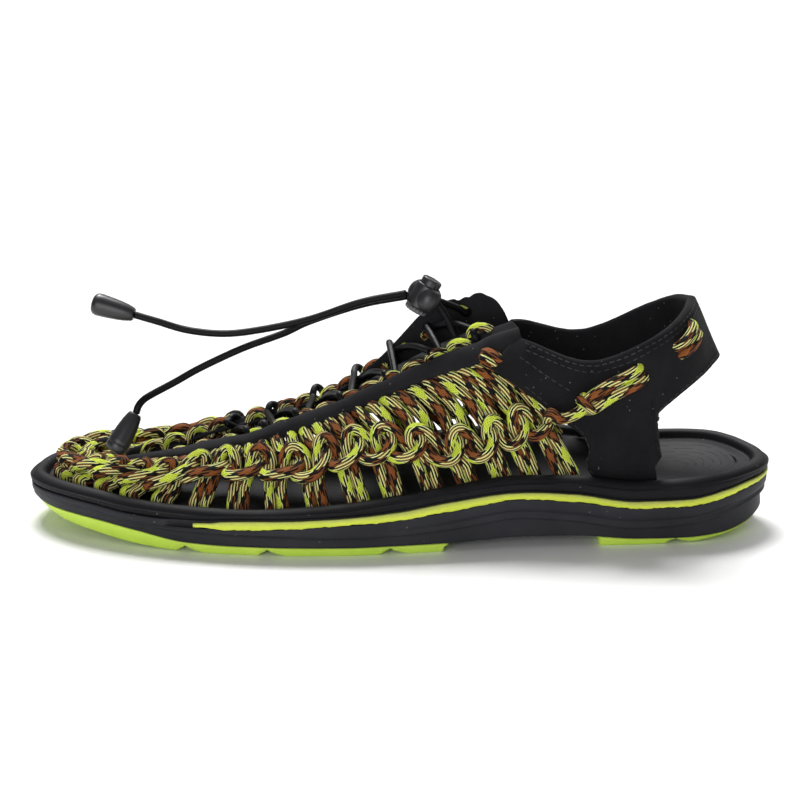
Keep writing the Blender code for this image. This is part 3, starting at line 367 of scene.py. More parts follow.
class Finish:
    def __init__(self, name, world=None, **values):
        # A material's surface, or the background of a world.
        self.material = world or bpy.data.materials.new(name)
        self.material.use_nodes = True
        self.tree = self.material.node_tree
        self.shader = self.tree.nodes["Background" if world else "Principled BSDF"]
        self.done(**values)

    def set(self, node, socket, value):
        target = node.inputs[socket]
        if isinstance(value, Wire):
            self.tree.links.new(value.socket, target)
        elif value is not None:
            colour = isinstance(value, tuple) and target.type == "RGBA"
            target.default_value = (*value, 1.0) if colour else value

    def node(self, kind, settings, sockets, out=0):
        made = self.tree.nodes.new(kind)
        for key, value in settings.items():
            if key == "stops":
                ramp = made.color_ramp.elements
                while len(ramp) < len(value):
                    ramp.new(1.0)
                for element, (place, colour) in zip(ramp, value):
                    element.position, element.color = place, (*colour, 1.0)
            elif key == "steps":
                made.color_ramp.interpolation = value
            else:
                setattr(made, key, value)
        for socket, value in sockets.items():
            self.set(made, socket, value)
        return Wire(self, made.outputs[out])

    def place(self):
        # Object coordinates in millimetres.
        spot = self.node("ShaderNodeTexCoord", {}, {}, "Object")
        return self.node("ShaderNodeVectorMath", {"operation": "MULTIPLY"}, {0: spot, 1: (1 / mm,) * 3})

    def parts(self, vector):
        made = self.node("ShaderNodeSeparateXYZ", {}, {0: vector})
        return [Wire(self, socket) for socket in made.socket.node.outputs]

    def uv(self):
        return self.parts(self.node("ShaderNodeUVMap", {"uv_map": "along"}, {}))[:2]

    def noise(self, where, scale, detail=2.0, rough=0.5):
        sockets = {"Vector": where, "Scale": scale, "Detail": detail, "Roughness": rough}
        return self.node("ShaderNodeTexNoise", {}, sockets, "Fac")

    def mix(self, share, first, second):
        return self.node("ShaderNodeMix", {"data_type": "RGBA"}, {0: share, 6: first, 7: second}, 2)

    def ramp(self, share, low, high):
        # Share read from low to high as 0 to 1, held at both ends.
        return self.node("ShaderNodeMapRange", {"clamp": True}, {0: share, 1: low, 2: high, 3: 0.0, 4: 1.0})

    def mark(self, name):
        return self.node("ShaderNodeAttribute", {"attribute_name": name}, {}, "Fac")

    def bump(self, height, depth, strength=1.0, under=None):
        sockets = {"Height": height, "Distance": depth * mm, "Strength": strength, "Normal": under}
        return self.node("ShaderNodeBump", {}, sockets)

    def done(self, **links):
        for socket, value in links.items():
            self.set(self.shader, socket.replace("_", " "), value)
        return self.material


def specks(finish, where, size, share):
    # Dust: a few small cells of a Voronoi pattern turn light.
    sockets = {"Vector": where, "Scale": 1 / size}
    cells = finish.node("ShaderNodeTexVoronoi", {"feature": "F1"}, sockets, "Distance")
    pick = finish.node("ShaderNodeTexVoronoi", {"feature": "F1"}, sockets, "Color")
    return (cells < 0.28) * (finish.parts(pick)[0] < share)


cordLook = {
    "columns": 24, "stitch": 1.2, "bump": 0.2,
    # dyes as solid patches and as streaks, in the order black, rust, lime
    "solid": ((0.004, 0.004, 0.005), (0.36, 0.11, 0.026), (0.82, 0.97, 0.09)),
    "streak": ((0.003, 0.003, 0.004), (0.25, 0.08, 0.02), (0.95, 0.97, 0.38)),
    # runs of yarns in each winding direction: kind of dye and number of yarns
    "runs": ((2, 6), (0, 3), (1, 5), (0, 2), (2, 4), (0, 4), (1, 4), (0, 3), (2, 7), (0, 2), (1, 4), (0, 4)),
}


def cordFinish():
    # Round braid: columns of stitches lean left and right in turn. As many yarns wind each way, dyed in runs,
    # so like runs meet in solid patches and unlike runs in streaks along the cord.
    f = Finish("braidedCord", Roughness=0.72, Specular_IOR_Level=0.2)
    u, v = f.uv()
    columns = u * cordLook["columns"]
    lean = columns.floor() % 2
    stitch = v + (1 - 2 * lean) * columns
    crossing = v - (1 - 2 * lean) * columns
    starts = np.cumsum([0] + [count for _, count in cordLook["runs"]])[:-1] / (2 * cordLook["columns"])
    stops = [(float(start), (kind / 2,) * 3) for start, (kind, _) in zip(starts, cordLook["runs"])]

    def dye(yarn, way):
        return f.node("ShaderNodeValToRGB", {"stops": stops, "steps": "CONSTANT"},
                      {0: (yarn.floor() % cordLook["columns"] + 0.5) / (2 * cordLook["columns"]) + way * 0.5})

    def paint(kind, colours):
        steps = list(zip((0.0, 0.25, 0.75), colours))
        return f.node("ShaderNodeValToRGB", {"stops": steps, "steps": "CONSTANT"}, {0: kind})

    own, other = dye(stitch, lean), dye(crossing, 1 - lean)
    alike = abs(own - other) < 0.25
    dyed = f.mix(alike, paint(own, cordLook["streak"]), paint(own, cordLook["solid"]))
    across = abs(columns.fract() * 2 - 1)
    ahead = abs(stitch.fract() * 2 - 1)
    height = (1 - across * across) * (1 - ahead * ahead * 0.9)
    # The low edges and gaps of the stitches are painted darker: painted shade between the stitches.
    shade = f.ramp(height, 0.0, 0.6)
    soft = f.noise(f.place(), 0.5, 3.0)
    colour = f.mix(shade, f.mix(0.78, dyed, (0.0, 0.0, 0.0)), dyed)
    colour = f.mix(f.ramp(soft, 0.35, 0.75) * 0.25, colour, f.mix(0.5, colour, (0.02, 0.015, 0.01)))
    return f.done(Base_Color=colour, Roughness=0.6 + soft * 0.3, Normal=f.bump(height, cordLook["bump"]))


def laceFinish():
    # Tight round elastic: fine dark stitches with a satin shine.
    f = Finish("elasticLace", Specular_IOR_Level=0.12)
    u, v = f.uv()
    columns = u * 16
    lean = columns.floor() % 2
    stitch = v * 1.1 + (1 - 2 * lean) * columns
    across = abs(columns.fract() * 2 - 1)
    ahead = abs(stitch.fract() * 2 - 1)
    height = (1 - across * across) * (1 - ahead * ahead * 0.6)
    # The low gaps between the stitches are painted darker: painted shade.
    colour = f.mix(height, (0.001, 0.001, 0.0013), (0.004, 0.004, 0.005))
    return f.done(Base_Color=colour, Roughness=0.42 - height * 0.1, Normal=f.bump(height, 0.05))


def napFinish(name, dark, light, dust):
    # Brushed microfibre: short nap that lies in soft patches, with a little dust in it.
    f = Finish(name, Specular_IOR_Level=0.1, Sheen_Weight=0.03, Sheen_Roughness=0.45)
    where = f.place()
    patch = f.noise(where, 0.06, 4.0, 0.6)
    nap = f.noise(where, 2.2, 4.0, 0.7)
    colour = f.mix(f.ramp(patch * 0.6 + nap * 0.4, 0.35, 0.7), dark, light)
    colour = f.mix(specks(f, where, 0.9, dust) * 0.55, colour, (0.22, 0.21, 0.20))
    return f.done(Base_Color=colour, Roughness=0.8 + nap * 0.2, Normal=f.bump(nap, 0.16))


# The footbed's marks: x where the ribs begin and end, their pitch, the middle of the heel's ovals, their
# pitch, and the smallest and largest of them.
footbedMarks = {"ribs": (-118.0, 30.0), "ribPitch": 2.0,
                "heel": 104.0, "ringPitch": 2.2, "rings": (5.0, 22.0)}


def foamFinish(name, dark, light, gloss, grooves=False):
    # Moulded foam: fine grain and faint handling marks. The footbed also has ribs in front, and dashes in
    # ovals round the middle of the heel.
    f = Finish(name, Specular_IOR_Level=0.16 if grooves else 0.18)
    where = f.place()
    grain = f.noise(where, 1.6, 3.0, 0.6)
    cloud = f.noise(where, 0.035, 3.0, 0.55)
    colour = f.mix(f.ramp(cloud, 0.35, 0.7), dark, light)
    colour = f.mix(specks(f, where, 1.3, 0.012) * 0.4, colour, (0.16, 0.16, 0.16))
    normal = f.bump(grain, 0.05)
    if grooves:
        x, y = f.parts(where)[:2]
        dish = f.mark("dish")
        front, rear = footbedMarks["ribs"]
        ribs = f.ramp(abs((y / footbedMarks["ribPitch"]).fract() * 2 - 1), 0.55, 0.8)
        ribs = ribs * (x < rear) * (1 - (x < front))
        back = x - footbedMarks["heel"]
        away = (back * back * 0.42 + y * y) ** 0.5
        turn = y.sum("ARCTAN2", y, back * 0.65)
        ring = away / footbedMarks["ringPitch"]
        cuts = (turn * 9.0 + ring.floor() * 2.4).sine() > 0.1
        near, far = footbedMarks["rings"]
        dashes = cuts * f.ramp(abs(ring.fract() * 2 - 1), 0.72, 0.86) * (away < far) * (away > near)
        # The dish is painted a little lighter than the rim: a painted sheen.
        colour = f.mix(dish, colour, (0.010, 0.010, 0.0122))
        dents = (ribs + dashes * 0.45) * f.ramp(dish, 0.9, 1.0)
        normal = f.bump(1 - dents, 0.35, 1.0, normal)
        # The ribs and dashes are also painted darker, as painted shade in the grooves.
        colour = f.mix(dents * 0.6, colour, (0.003, 0.003, 0.004))
    return f.done(Base_Color=colour, Roughness=gloss + grain * 0.16 + cloud * 0.08, Normal=normal)


def limeFinish(name, deep, bright, yellow, upperColour=None):
    # Moulded lime rubber: soft clouds of two greens, with yellower spots in a fine grain.
    f = Finish(name, Roughness=0.5, Specular_IOR_Level=0.4)
    where = f.place()
    cloud = f.noise(where, 0.05, 3.0, 0.6)
    fine = f.noise(where, 1.2, 3.0, 0.6)
    colour = f.mix(f.ramp(cloud, 0.3, 0.7), deep, bright)
    colour = f.mix(f.ramp(fine, 0.55, 0.8) * 0.35, colour, yellow)
    if upperColour:                                       # the stripe's upper part turns darker and more olive, in patches
        upperShare = f.ramp(f.mark("up") + (cloud - 0.5) * 0.9 + (fine - 0.5) * 0.5, 0.45, 0.95) * 0.7
        colour = f.mix(upperShare, colour, upperColour)
    return f.done(Base_Color=colour, Roughness=0.42 + fine * 0.2, Normal=f.bump(fine, 0.04))


def plasticFinish():
    # Satin plastic with a fine grain; worn places are greyer.
    f = Finish("blackPlastic", Specular_IOR_Level=0.5)
    where = f.place()
    grain = f.noise(where, 2.5, 3.0, 0.6)
    cloud = f.noise(where, 0.15, 2.0, 0.5)
    colour = f.mix(cloud, (0.006, 0.006, 0.0075), (0.013, 0.013, 0.0155))
    colour = f.mix(f.mark("worn"), colour, (0.10, 0.10, 0.105))
    return f.done(Base_Color=colour, Roughness=0.3 + grain * 0.2, Normal=f.bump(grain, 0.035))


def knitFinish():
    # Soft lining knit: rows of small loops.
    f = Finish("liningKnit", Specular_IOR_Level=0.2, Sheen_Weight=0.03)
    where = f.place()
    x, y, z = f.parts(where)
    loops = (x * 4.4 + z * 2.0).sine() * (y * 5.2 + z * 1.4).sine()
    cloud = f.noise(where, 0.08, 3.0, 0.6)
    colour = f.mix(f.ramp(cloud + loops * 0.1, 0.3, 0.7), (0.008, 0.008, 0.0092), (0.018, 0.018, 0.020))
    return f.done(Base_Color=colour, Roughness=0.85 + cloud * 0.1, Normal=f.bump(loops, 0.1))


finishes = {
    "cord": cordFinish(),
    "lace": laceFinish(),
    "microfibre": napFinish("brushedMicrofibre", (0.0065, 0.0065, 0.0075), (0.0135, 0.0135, 0.0152), 0.016),
    # The throat strips take a lighter copy of the strap's microfibre: painted light, as their tops lie more
    # in the light.
    "strip": napFinish("stripMicrofibrePaintedLight", (0.010, 0.010, 0.0114), (0.020, 0.020, 0.0222), 0.016),
    "thread": napFinish("sewingThread", (0.014, 0.014, 0.016), (0.06, 0.06, 0.063), 0.0),
    "lining": knitFinish(),
    "foam": foamFinish("blackFoam", (0.0165, 0.0165, 0.0205), (0.026, 0.026, 0.032), 0.42),
    "footbed": foamFinish("footbedFoam", (0.004, 0.004, 0.0052), (0.008, 0.008, 0.010), 0.5, grooves=True),
    "lime": limeFinish("limeRubber", (0.50, 0.72, 0.07), (0.60, 0.80, 0.10), (0.66, 0.84, 0.14)),
    "stripe": limeFinish("limeStripe", (0.50, 0.60, 0.04), (0.66, 0.73, 0.06), (0.74, 0.79, 0.12),
                         upperColour=(0.30, 0.32, 0.11)),
    "plastic": plasticFinish(),
}
print("finishes made")


# The sole's pieces: closed loops stacked from the underside up; a dish or a straight cap closes the top.
soleAngles = np.linspace(0, math.pi, 241)


def soleLoop(angles, inset, height):
    # One closed loop: outer side to the heel, inner side back; inset(x) and height(x, side) give its shape.
    x = xOf(angles)
    sides = [np.column_stack([planEdge(angles, side, inset(x)), height(x, side)]) for side in (outer, inner)]
    start = 1 if angles[0] < 1e-6 else 0
    stop = len(angles) - 1 if angles[-1] > math.pi - 1e-6 else len(angles)
    return np.concatenate([sides[0], sides[1][start:stop][::-1]])


def capFaces(index, under):
    # Faces across a ladder of point numbers (stations, cells + 1); a row of one repeated point is a tip.
    quads, tris = [], []
    firstTip, lastTip = index[0, 0] == index[0, -1], index[-1, 0] == index[-1, -1]
    body = index[int(firstTip):len(index) - int(lastTip)]
    quads.append(np.stack([body[:-1, :-1], body[1:, :-1], body[1:, 1:], body[:-1, 1:]], -1).reshape(-1, 4))
    if firstTip:
        tris.append(np.stack([np.full(index.shape[1] - 1, index[0, 0]), index[1, :-1], index[1, 1:]], -1))
    if lastTip:
        tris.append(np.stack([index[-2, :-1], np.full(index.shape[1] - 1, index[-1, 0]), index[-2, 1:]], -1))
    quads = np.concatenate(quads)
    tris = np.concatenate(tris) if tris else np.zeros((0, 3), int)
    return (quads[:, ::-1], tris[:, ::-1]) if under else (quads, tris)


def soleShell(angles, loops, dish=None, cells=1):
    # Loops joined into one shell: straight across below, and by a dish or straight across on top.
    count, n = len(loops[0]), len(angles)
    firstTip, lastTip = angles[0] < 1e-6, angles[-1] > math.pi - 1e-6
    left = np.arange(n)
    right = n + (n - 1 if lastTip else n) - 1 - left
    right[0] = 0 if firstTip else right[0]
    right[-1] = n - 1 if lastTip else right[-1]
    points = [np.concatenate(loops)]
    top = (len(loops) - 1) * count
    index = np.stack([left, right], -1) + top
    if dish is not None:
        share = np.linspace(0, 1, cells + 1)[1:-1]
        filled = dish(loops[-1][left], loops[-1][right], share)
        extra = len(points[0]) + np.arange(filled.shape[0] * filled.shape[1]).reshape(filled.shape[:2])
        points.append(filled.reshape(-1, 3))
        index = np.concatenate([index[:, :1], extra, index[:, 1:]], 1)
        index[0] = index[0, 0] if firstTip else index[0]
        index[-1] = index[-1, 0] if lastTip else index[-1]
    topQuads, topTris = capFaces(index, False)
    lowQuads, lowTris = capFaces(np.stack([left, right], -1), True)
    quads = np.concatenate([gridFaces(len(loops), count), topQuads, lowQuads])
    return np.concatenate(points), [quads, np.concatenate([topTris, lowTris])]


def usedOnly(points, faces, marks):
    # Drops points that no face uses.
    used = np.zeros(len(points), bool)
    for f in faces:
        used[f.ravel()] = True
    number = np.cumsum(used) - 1
    return points[used], [number[f] for f in faces], marks[used]


def lineHeight(name, lift, other=None, share=0.0):
    # Height of a side line, or of a place between two of them.
    def height(x, side):
        def line(which):
            return rimAt(x, side) if which == "rim" else soleAt(which, x)
        base = line(name) if other is None else line(name) * (1 - share) + line(other) * share
        return base + lift
    return height


footbedLook = {
    # rows of the section: share of the seam line (the rest is the rim line), lift and inset
    "section": ((1, 0.0, 2.4), (1, 0.15, 1.0), (1, 0.45, 0.45), (1, 0.9, 0.2), (1, 2.0, 0.0),
                (0.45, -0.3, 0.05), (0, -2.4, 0.6), (0, -1.3, 1.3), (0, -0.55, 2.2), (0, -0.12, 3.2),
                (0, 0.0, 4.2), (0, -0.2, 5.1), (0, -0.8, 6.0), (0, -1.9, 6.6), (0, -3.0, 7.0),
                (0, -3.35, 7.6), (0, -3.4, 9.0), (0, -3.4, 12.5)),
    "dish": ((-130, -60, 20, 95, 130), (0.2, 0.8, 1.2, 3.4, 1.5)),       # x and depth
    "dishPower": 0.8, "dishCells": 56,
}


def buildFootbed():
    # A moulded rim carried round the plan, and a floor between its sides that sinks by a sine across.
    rows = np.array(footbedLook["section"])
    fine = np.linspace(0, len(rows) - 1, 3 * len(rows))
    share, lift, inset = (smoothCurve(np.arange(len(rows)), rows[:, k], fine) for k in range(3))
    loops = [soleLoop(soleAngles, lambda x, i=i: np.full(len(x), i), lineHeight("rim", l, "seam", s))
             for s, l, i in zip(share, lift, inset)]

    def dish(left, right, part):
        across = left[:, None] + (right - left)[:, None] * part[:, None]
        places, depths = footbedLook["dish"]
        depth = smoothCurve(places, depths, np.clip(left[:, 0], places[0], places[-1]))
        across[..., 2] -= depth[:, None] * np.sin(math.pi * part) ** footbedLook["dishPower"]
        return across

    points, faces = soleShell(soleAngles, loops, dish, footbedLook["dishCells"])
    inside = (np.arange(len(points)) >= len(loops) * len(loops[0])).astype(float)
    points, faces, inside = usedOnly(points, faces, inside)
    makePiece("footbed_moulded", points, faces, finishes["footbed"], "footbed_foam", ("footbed",),
              marks={"dish": inside})


stripeLook = {"start": -76.0, "depth": 1.6, "face": 0.2, "ragged": 0.28, "stations": 420}
ribLook = {"start": -68.0, "run": 14.0, "step": 1.6, "upperStart": -8.0, "upperRun": 40.0, "upperStep": 1.0}
# Rows of the midsole's section: line, second line and share between them, lift, inset, then shares of the
# rib's step, of the upper rib's step and of the stripe's groove.
midsoleRows = (
    ("padTop", None, 0.0, 0.0, 2.8, 0.0, 0, 0), ("padTop", None, 0.0, 0.1, 2.2, 0.3, 0, 0),
    ("padTop", None, 0.0, 0.45, 1.75, 0.5, 0, 0), ("padTop", None, 0.0, 1.1, 1.5, 0.65, 0, 0),
    ("padTop", "rib", 0.45, 0.3, 1.3, 0.9, 0, 0), ("rib", None, 0.0, -1.1, 1.1, 1.0, 0, 0),
    ("rib", None, 0.0, -0.5, 1.05, 1.05, 0, 0), ("rib", None, 0.0, -0.15, 1.0, 1.0, 0, 0),
    ("rib", None, 0.0, 0.1, 0.9, 0.5, 0.1, 0), ("rib", None, 0.0, 0.4, 0.8, 0.1, 0.2, 0),
    ("rib", None, 0.0, 0.9, 0.75, 0.0, 0.4, 0), ("rib", "stripeLow", 0.22, 0.0, 0.7, 0, 0.8, 0),
    ("rib", "stripeLow", 0.34, 0.0, 0.66, 0, 1.0, 0), ("rib", "stripeLow", 0.40, 0.0, 0.64, 0, 0.8, 0),
    ("rib", "stripeLow", 0.46, 0.0, 0.62, 0, 0.2, 0), ("rib", "stripeLow", 0.55, 0.0, 0.6, 0, 0, 0),
    ("rib", "stripeLow", 0.8, 0.0, 0.54, 0, 0, 0), ("stripeLow", None, 0.0, -0.45, 0.5, 0, 0, 0),
    ("stripeLow", None, 0.0, -0.15, 0.56, 0, 0, 0), ("stripeLow", None, 0.0, 0.0, 0.6, 0, 0, 0.35),
    ("stripeLow", None, 0.0, 0.1, 0.55, 0, 0, 1), ("seam", None, 0.0, -0.75, 0.5, 0, 0, 1),
    ("seam", None, 0.0, -0.5, 0.7, 0, 0, 1), ("seam", None, 0.0, -0.4, 1.2, 0, 0, 1))


def buildMidsole():
    # The section's rows carried round the plan; ribs and groove deepen the inset along the side.
    loops = []
    for name, other, share, lift, base, rib, upper, groove in midsoleRows:
        def inset(x, base=base, rib=rib, upper=upper, groove=groove):
            step = ribLook["step"] * np.clip((x - ribLook["start"]) / ribLook["run"], 0, 1)
            second = ribLook["upperStep"] * np.clip((x - ribLook["upperStart"]) / ribLook["upperRun"], 0, 1)
            cut = stripeLook["depth"] * np.clip((x - stripeLook["start"] + 12.0) / 4.0, 0, 1)
            return base + rib * step + upper * second + groove * cut
        loops.append(soleLoop(soleAngles, inset, lineHeight(name, lift, other, share)))
    makePiece("midsole_moulded", *soleShell(soleAngles, loops), finishes["foam"], "black_foam", ("midsole",))


def ragged(along, size, *waves):
    # Uneven edge: a few sines of unlike length.
    return size * sum(np.sin(along / length + 1.7 * k) for k, length in enumerate(waves)) / len(waves) ** 0.5


def buildStripe():
    # Band in the midsole's groove round sides and heel: a closed section with an uneven lower edge.
    half = stripeLook["stations"] // 2
    angles = np.linspace(angleOf(stripeLook["start"]), math.pi, half)
    x = xOf(angles)
    rag = ragged(x, stripeLook["ragged"], 0.9, 2.3, 0.41, 5.1)
    fade = np.clip((x - stripeLook["start"]) / 10.0, 0.72, 1)
    section = ((0.2, 0.0), (0.05, 0.06), (0.0, 0.3), (0.0, 0.5), (0.0, 0.7), (0.06, 0.94), (0.25, 1.0),
               (1.35, 1.0), (1.35, 0.5), (1.35, 0.0))
    rings = []
    for depth, up in section:
        both = []
        for side in (outer, inner):
            plan = planEdge(angles, side, np.full(half, stripeLook["face"] + depth))
            low = soleAt("stripeLow", x) + 0.1 + rag * (side * 0.3 + 1)
            high = soleAt("seam", x) - 2 * shoe["gap"] + rag[::-1] * 0.15
            middle = (low + high) / 2
            both.append(np.column_stack([plan, middle + (up - 0.5) * (high - low) * fade]))
        rings.append(np.concatenate([both[0], both[1][:-1][::-1]]))
    points, faces = shell(np.stack(rings, 1))
    height = np.resize([up for _, up in section], len(points))
    makePiece("stripe_band", points, faces, finishes["stripe"], "lime_stripe", ("stripe",),
              marks={"up": height})


padLook = {
    # front and rear end, slant of the rear end, and x of the lugs' cuts
    "forefoot": (-146.0, 20.0, 4.0, (-80.5, -48.5, -1.5)), "heel": (77.5, 141.0, 2.0, (107.0,)),
    "lugRun": 4.0, "lugDepth": 2.4, "lugBack": 7.0, "stations": 160,
    # rows of the section: share of the height, inset, share of the rear end's slant
    "section": ((0.0, 5.0, 1.0), (0.02, 4.55, 0.98), (0.12, 4.2, 0.9), (0.45, 3.4, 0.55), (0.8, 3.0, 0.2),
                (0.93, 2.85, 0.07), (1.0, 2.8, 0.0)),
}


def buildPads():
    # Outsole pads: each lug ends in a slanted cut, and the next one swells out again behind it.
    for key, (front, rear, slant, lugs) in ((k, padLook[k]) for k in ("forefoot", "heel")):
        swell = padLook["lugBack"] * np.linspace(0, 1, 9)
        marks = [m for lug in lugs for m in (lug - padLook["lugRun"], *(lug + swell))]
        even = np.linspace(angleOf(front), angleOf(rear), padLook["stations"])
        angles = np.unique(np.concatenate([even, angleOf(marks)]))

        def ground(x, lugs=lugs):
            rise = np.zeros_like(x)
            for lug in lugs:
                ramp = np.clip((x - lug + padLook["lugRun"]) / padLook["lugRun"], 0, 1)
                back = np.clip((x - lug) / padLook["lugBack"], 0, 1)
                rise = rise + padLook["lugDepth"] * ramp * (1 - np.sqrt(back))
            return soleAt("bottom", x) + rise

        loops = []
        for share, inset, tilt in padLook["section"]:
            def height(x, side, share=share):
                return ground(x) * (1 - share) + (soleAt("padTop", x) - shoe["gap"]) * share
            moved = angles.copy()
            moved[-1] = angleOf(rear - slant * tilt)
            loops.append(soleLoop(moved, lambda x, i=inset: np.full(len(x), i), height))
        makePiece("outsole_pad_" + key, *soleShell(angles, loops), finishes["lime"], "lime_rubber",
                  ("outsole_" + key,))


buildFootbed()
buildMidsole()
buildStripe()
buildPads()
print("sole made")


# The woven upper: one cord stands in arches on the sole, the other hangs in rings from the throat strips.
# Each ring's lower turn lies over a pair of legs, with its ends passed through the arches beside it.
weave = {
    # x of each pair of legs at the sole and at the strip, outer side, from the rear to the toe
    "feet": (63.7, 50.7, 39.3, 26.5, 13.3, -1.0, -14.4, -29.4, -44.7, -59.5, -74.0, -88.8, -101.9, -113.3,
             -123.0, -130.8),
    "tops": (25.8, 16.7, 8.4, -1.5, -10.3, -20.2, -29.8, -39.0, -48.9, -58.5),
    # climb from the foot of a pair to the middle of the turn over it
    "climbs": (23.0, 17.5, 13.5, 12.0, 15.8, 18.0, 17.8, 13.5, 14.5, 13.8, 13.8, 8.0, 6.5, 5.5, 5.0, 4.5),
    # how far each turn sits from the line of its legs, in pitches towards the toe
    "drift": (0.1, 0.0, 0.22, 0.3, 0.25, 0.0, -0.14, -0.1, -0.28, -0.14, 0.08, 0.1, 0.0, 0.0, 0.0, 0.0),
    "toeSteps": 2, "frontReach": 6.0, "topFront": -110.0, "topRear": 34.0, "footRear": 72.0, "tuck": 4.0,
    "sides": 14, "step": 0.8, "cells": 40, "sink": 4.0,
    # half of a ring from its lowest point: across in pitches, rise, share of the upper leg, lift and share
    # of the slant; then the flatter rings in front, and the upper end that both kinds have
    "ring": ((0.00, -3.3, 0, 7.1, 1), (0.24, -2.6, 0, 6.9, 1), (0.42, -0.7, 0, 6.3, 1),
             (0.49, 1.8, 0, 5.2, 1), (0.44, 4.6, 0, 3.3, 0.9), (0.33, 8.0, 0, 2.2, 0.6),
             (0.27, 0, 0.45, 2.2, 0.1)),
    "ringFront": ((0.00, -2.7, 0, 7.5, 1), (0.27, -2.4, 0, 7.2, 1), (0.44, -1.3, 0, 6.3, 1),
                  (0.52, 0.9, 0, 4.6, 1), (0.47, 4.2, 0, 2.8, 0.9), (0.34, 8.0, 0, 2.2, 0.6),
                  (0.28, 0, 0.45, 2.2, 0.1)),
    "ringTop": ((0.25, 0, 0.72, 2.0, 0), (0.25, 0, 0.86, 0.6, 0), (0.25, 0, 1.0, -2.2, 0)),
    # half of an arch from its top: across in pitches, rise, share of the lower leg, lift, share of the slant
    "arch": ((0.00, 8.2, 0, 7.0, 1), (0.16, 7.5, 0, 6.7, 1), (0.29, 5.2, 0, 5.4, 1),
             (0.345, 2.0, 0, 3.6, 0.8), (0.35, -1.5, 0, 2.5, 0.4), (0.35, 0, -0.45, 2.3, 0),
             (0.35, 0, -0.75, 2.2, 0), (0.35, 0, -1.0, 2.0, 0)),
    # by module from the rear: where the rings become flatter, where the toe begins and is full, the share of
    # the slant that is left, and how far the inner side's pairs are moved, in pitches
    "front": (5.0, 8.0), "toe": (10.0, 14.0),
    "slantBy": ((6.0, 8.0, 10.0, 11.0), (1.0, 0.65, 0.5, 0.85)),
    "innerShift": ((1.0, 3.5, 8.5, 11.0), (0.0, -0.5, -0.5, 0.0)),
    "slant": 0.42,                      # rise of a turn along the row
    "toeLift": 0.1,                     # how much further the cords stand off the foot at the toe
    "toeTilt": -2.7,                    # the toe ends of the first rings lie lower, mm in a pitch
    "legWidth": 0.1,                    # how much wider the rings' legs lie where the strips press them flat
}


def wallEdges():
    # Foot and head of the woven wall in plan as one line from the outer rear round the toe to the inner rear.
    feet, heads = [], []
    for side in (outer, inner):
        angle = np.linspace(0.0, float(angleOf(weave["footRear"])), 400)
        feet.append(planEdge(angle, side, last["inset"]))
        x = np.linspace(weave["topFront"], weave["topRear"], 240)
        edge = np.column_stack([x, walk(x, side, lastAt("stripLow", x) - weave["tuck"])])
        bow = np.linspace(0, math.pi / 2, 60)[:-1]
        ridge = float(lastAt("shift", weave["topFront"]))
        front = np.column_stack([weave["topFront"] - (weave["frontReach"] - weave["tuck"]) * np.cos(bow),
                                 ridge + (edge[0, 1] - ridge) * np.sin(bow)])
        heads.append(np.concatenate([front, edge]))
    lines = []
    for both in (feet, heads):
        line = np.concatenate([both[0][::-1], both[1][1:]])
        run = np.concatenate([[0.0], np.cumsum(np.linalg.norm(np.diff(line, axis=0), axis=1))])
        lines.append((line, run - run[len(both[0]) - 1]))     # distance is 0 at the middle of the toe
    return lines


def layOutWeave():
    # Distance of every module along the foot line and the head line, and its climb from the foot to the turn.
    footLine, headLine = wallEdges()
    half = len(weave["feet"]) + weave["toeSteps"]

    def distances(line, places):
        # Distance from the toe's middle for the given x of the outer side; the modules left share the rest.
        spots, run = line
        front = run <= 0
        order = np.argsort(spots[front][:, 0])
        known = np.interp(places, spots[front][order, 0], run[front][order])
        rest = np.linspace(known[-1], 0.0, half - len(places) + 1)[1:]
        side = np.concatenate([known, rest])
        return np.concatenate([side, -side[:-1][::-1]])

    climbs = np.concatenate([weave["climbs"], np.full(weave["toeSteps"], weave["climbs"][-1])])
    return {"foot": footLine, "head": headLine, "middle": half - 1, "count": 2 * half - 1,
            "footAt": distances(footLine, weave["feet"]), "headAt": distances(headLine, weave["tops"]),
            "climb": np.concatenate([climbs, climbs[:-1][::-1]])}


wall = layOutWeave()


def wallPoint(module, rise, share, lift):
    # Point of the woven wall: module counts along the row, rise is measured up the wall from the turn's
    # middle, share adds a part of the upper leg (or, below zero, of the lower leg).
    given = (np.asarray(a, float) for a in (module, rise, share, lift))
    module, rise, share, lift = np.broadcast_arrays(*given)
    numbers = np.arange(wall["count"])
    held = np.clip(module, 0, wall["count"] - 1)
    beyond = module - held

    def at(key):
        value = smoothCurve(numbers, wall[key], held)
        ends = np.where(beyond < 0, wall[key][1] - wall[key][0], wall[key][-1] - wall[key][-2])
        return value + beyond * ends

    def plan(line, distance):
        spots, run = line
        return np.stack([np.interp(distance, run, spots[:, k]) for k in range(2)], -1)

    foot, head = plan(wall["foot"], at("footAt")), plan(wall["head"], at("headAt"))
    climb = smoothCurve(numbers, wall["climb"], held)
    part = np.linspace(0, 1, weave["cells"] + 1)
    xy = foot[..., None, :] + (head - foot)[..., None, :] * part[:, None]
    surface = np.concatenate([xy, lastHeight(xy[..., 0], xy[..., 1])[..., None]], -1)
    step = np.linalg.norm(np.diff(surface, axis=-2), axis=-1)
    total = step.sum(-1)
    goal = climb + rise + np.where(share < 0, share * climb, share * (total - climb))
    before = np.cumsum(step, -1) - step
    done = np.clip((goal[..., None] - before) / step, 0, 1).sum(-1) / weave["cells"]
    spot = foot + (head - foot) * done[..., None]
    return lastPoint(spot[..., 0], spot[..., 1], lift)


def wallPitch(module):
    # Length of one module along the row of turns.
    ahead = wallPoint(np.asarray(module) + 0.5, 0, 0, 5)
    return np.linalg.norm(ahead - wallPoint(np.asarray(module) - 0.5, 0, 0, 5), axis=-1)


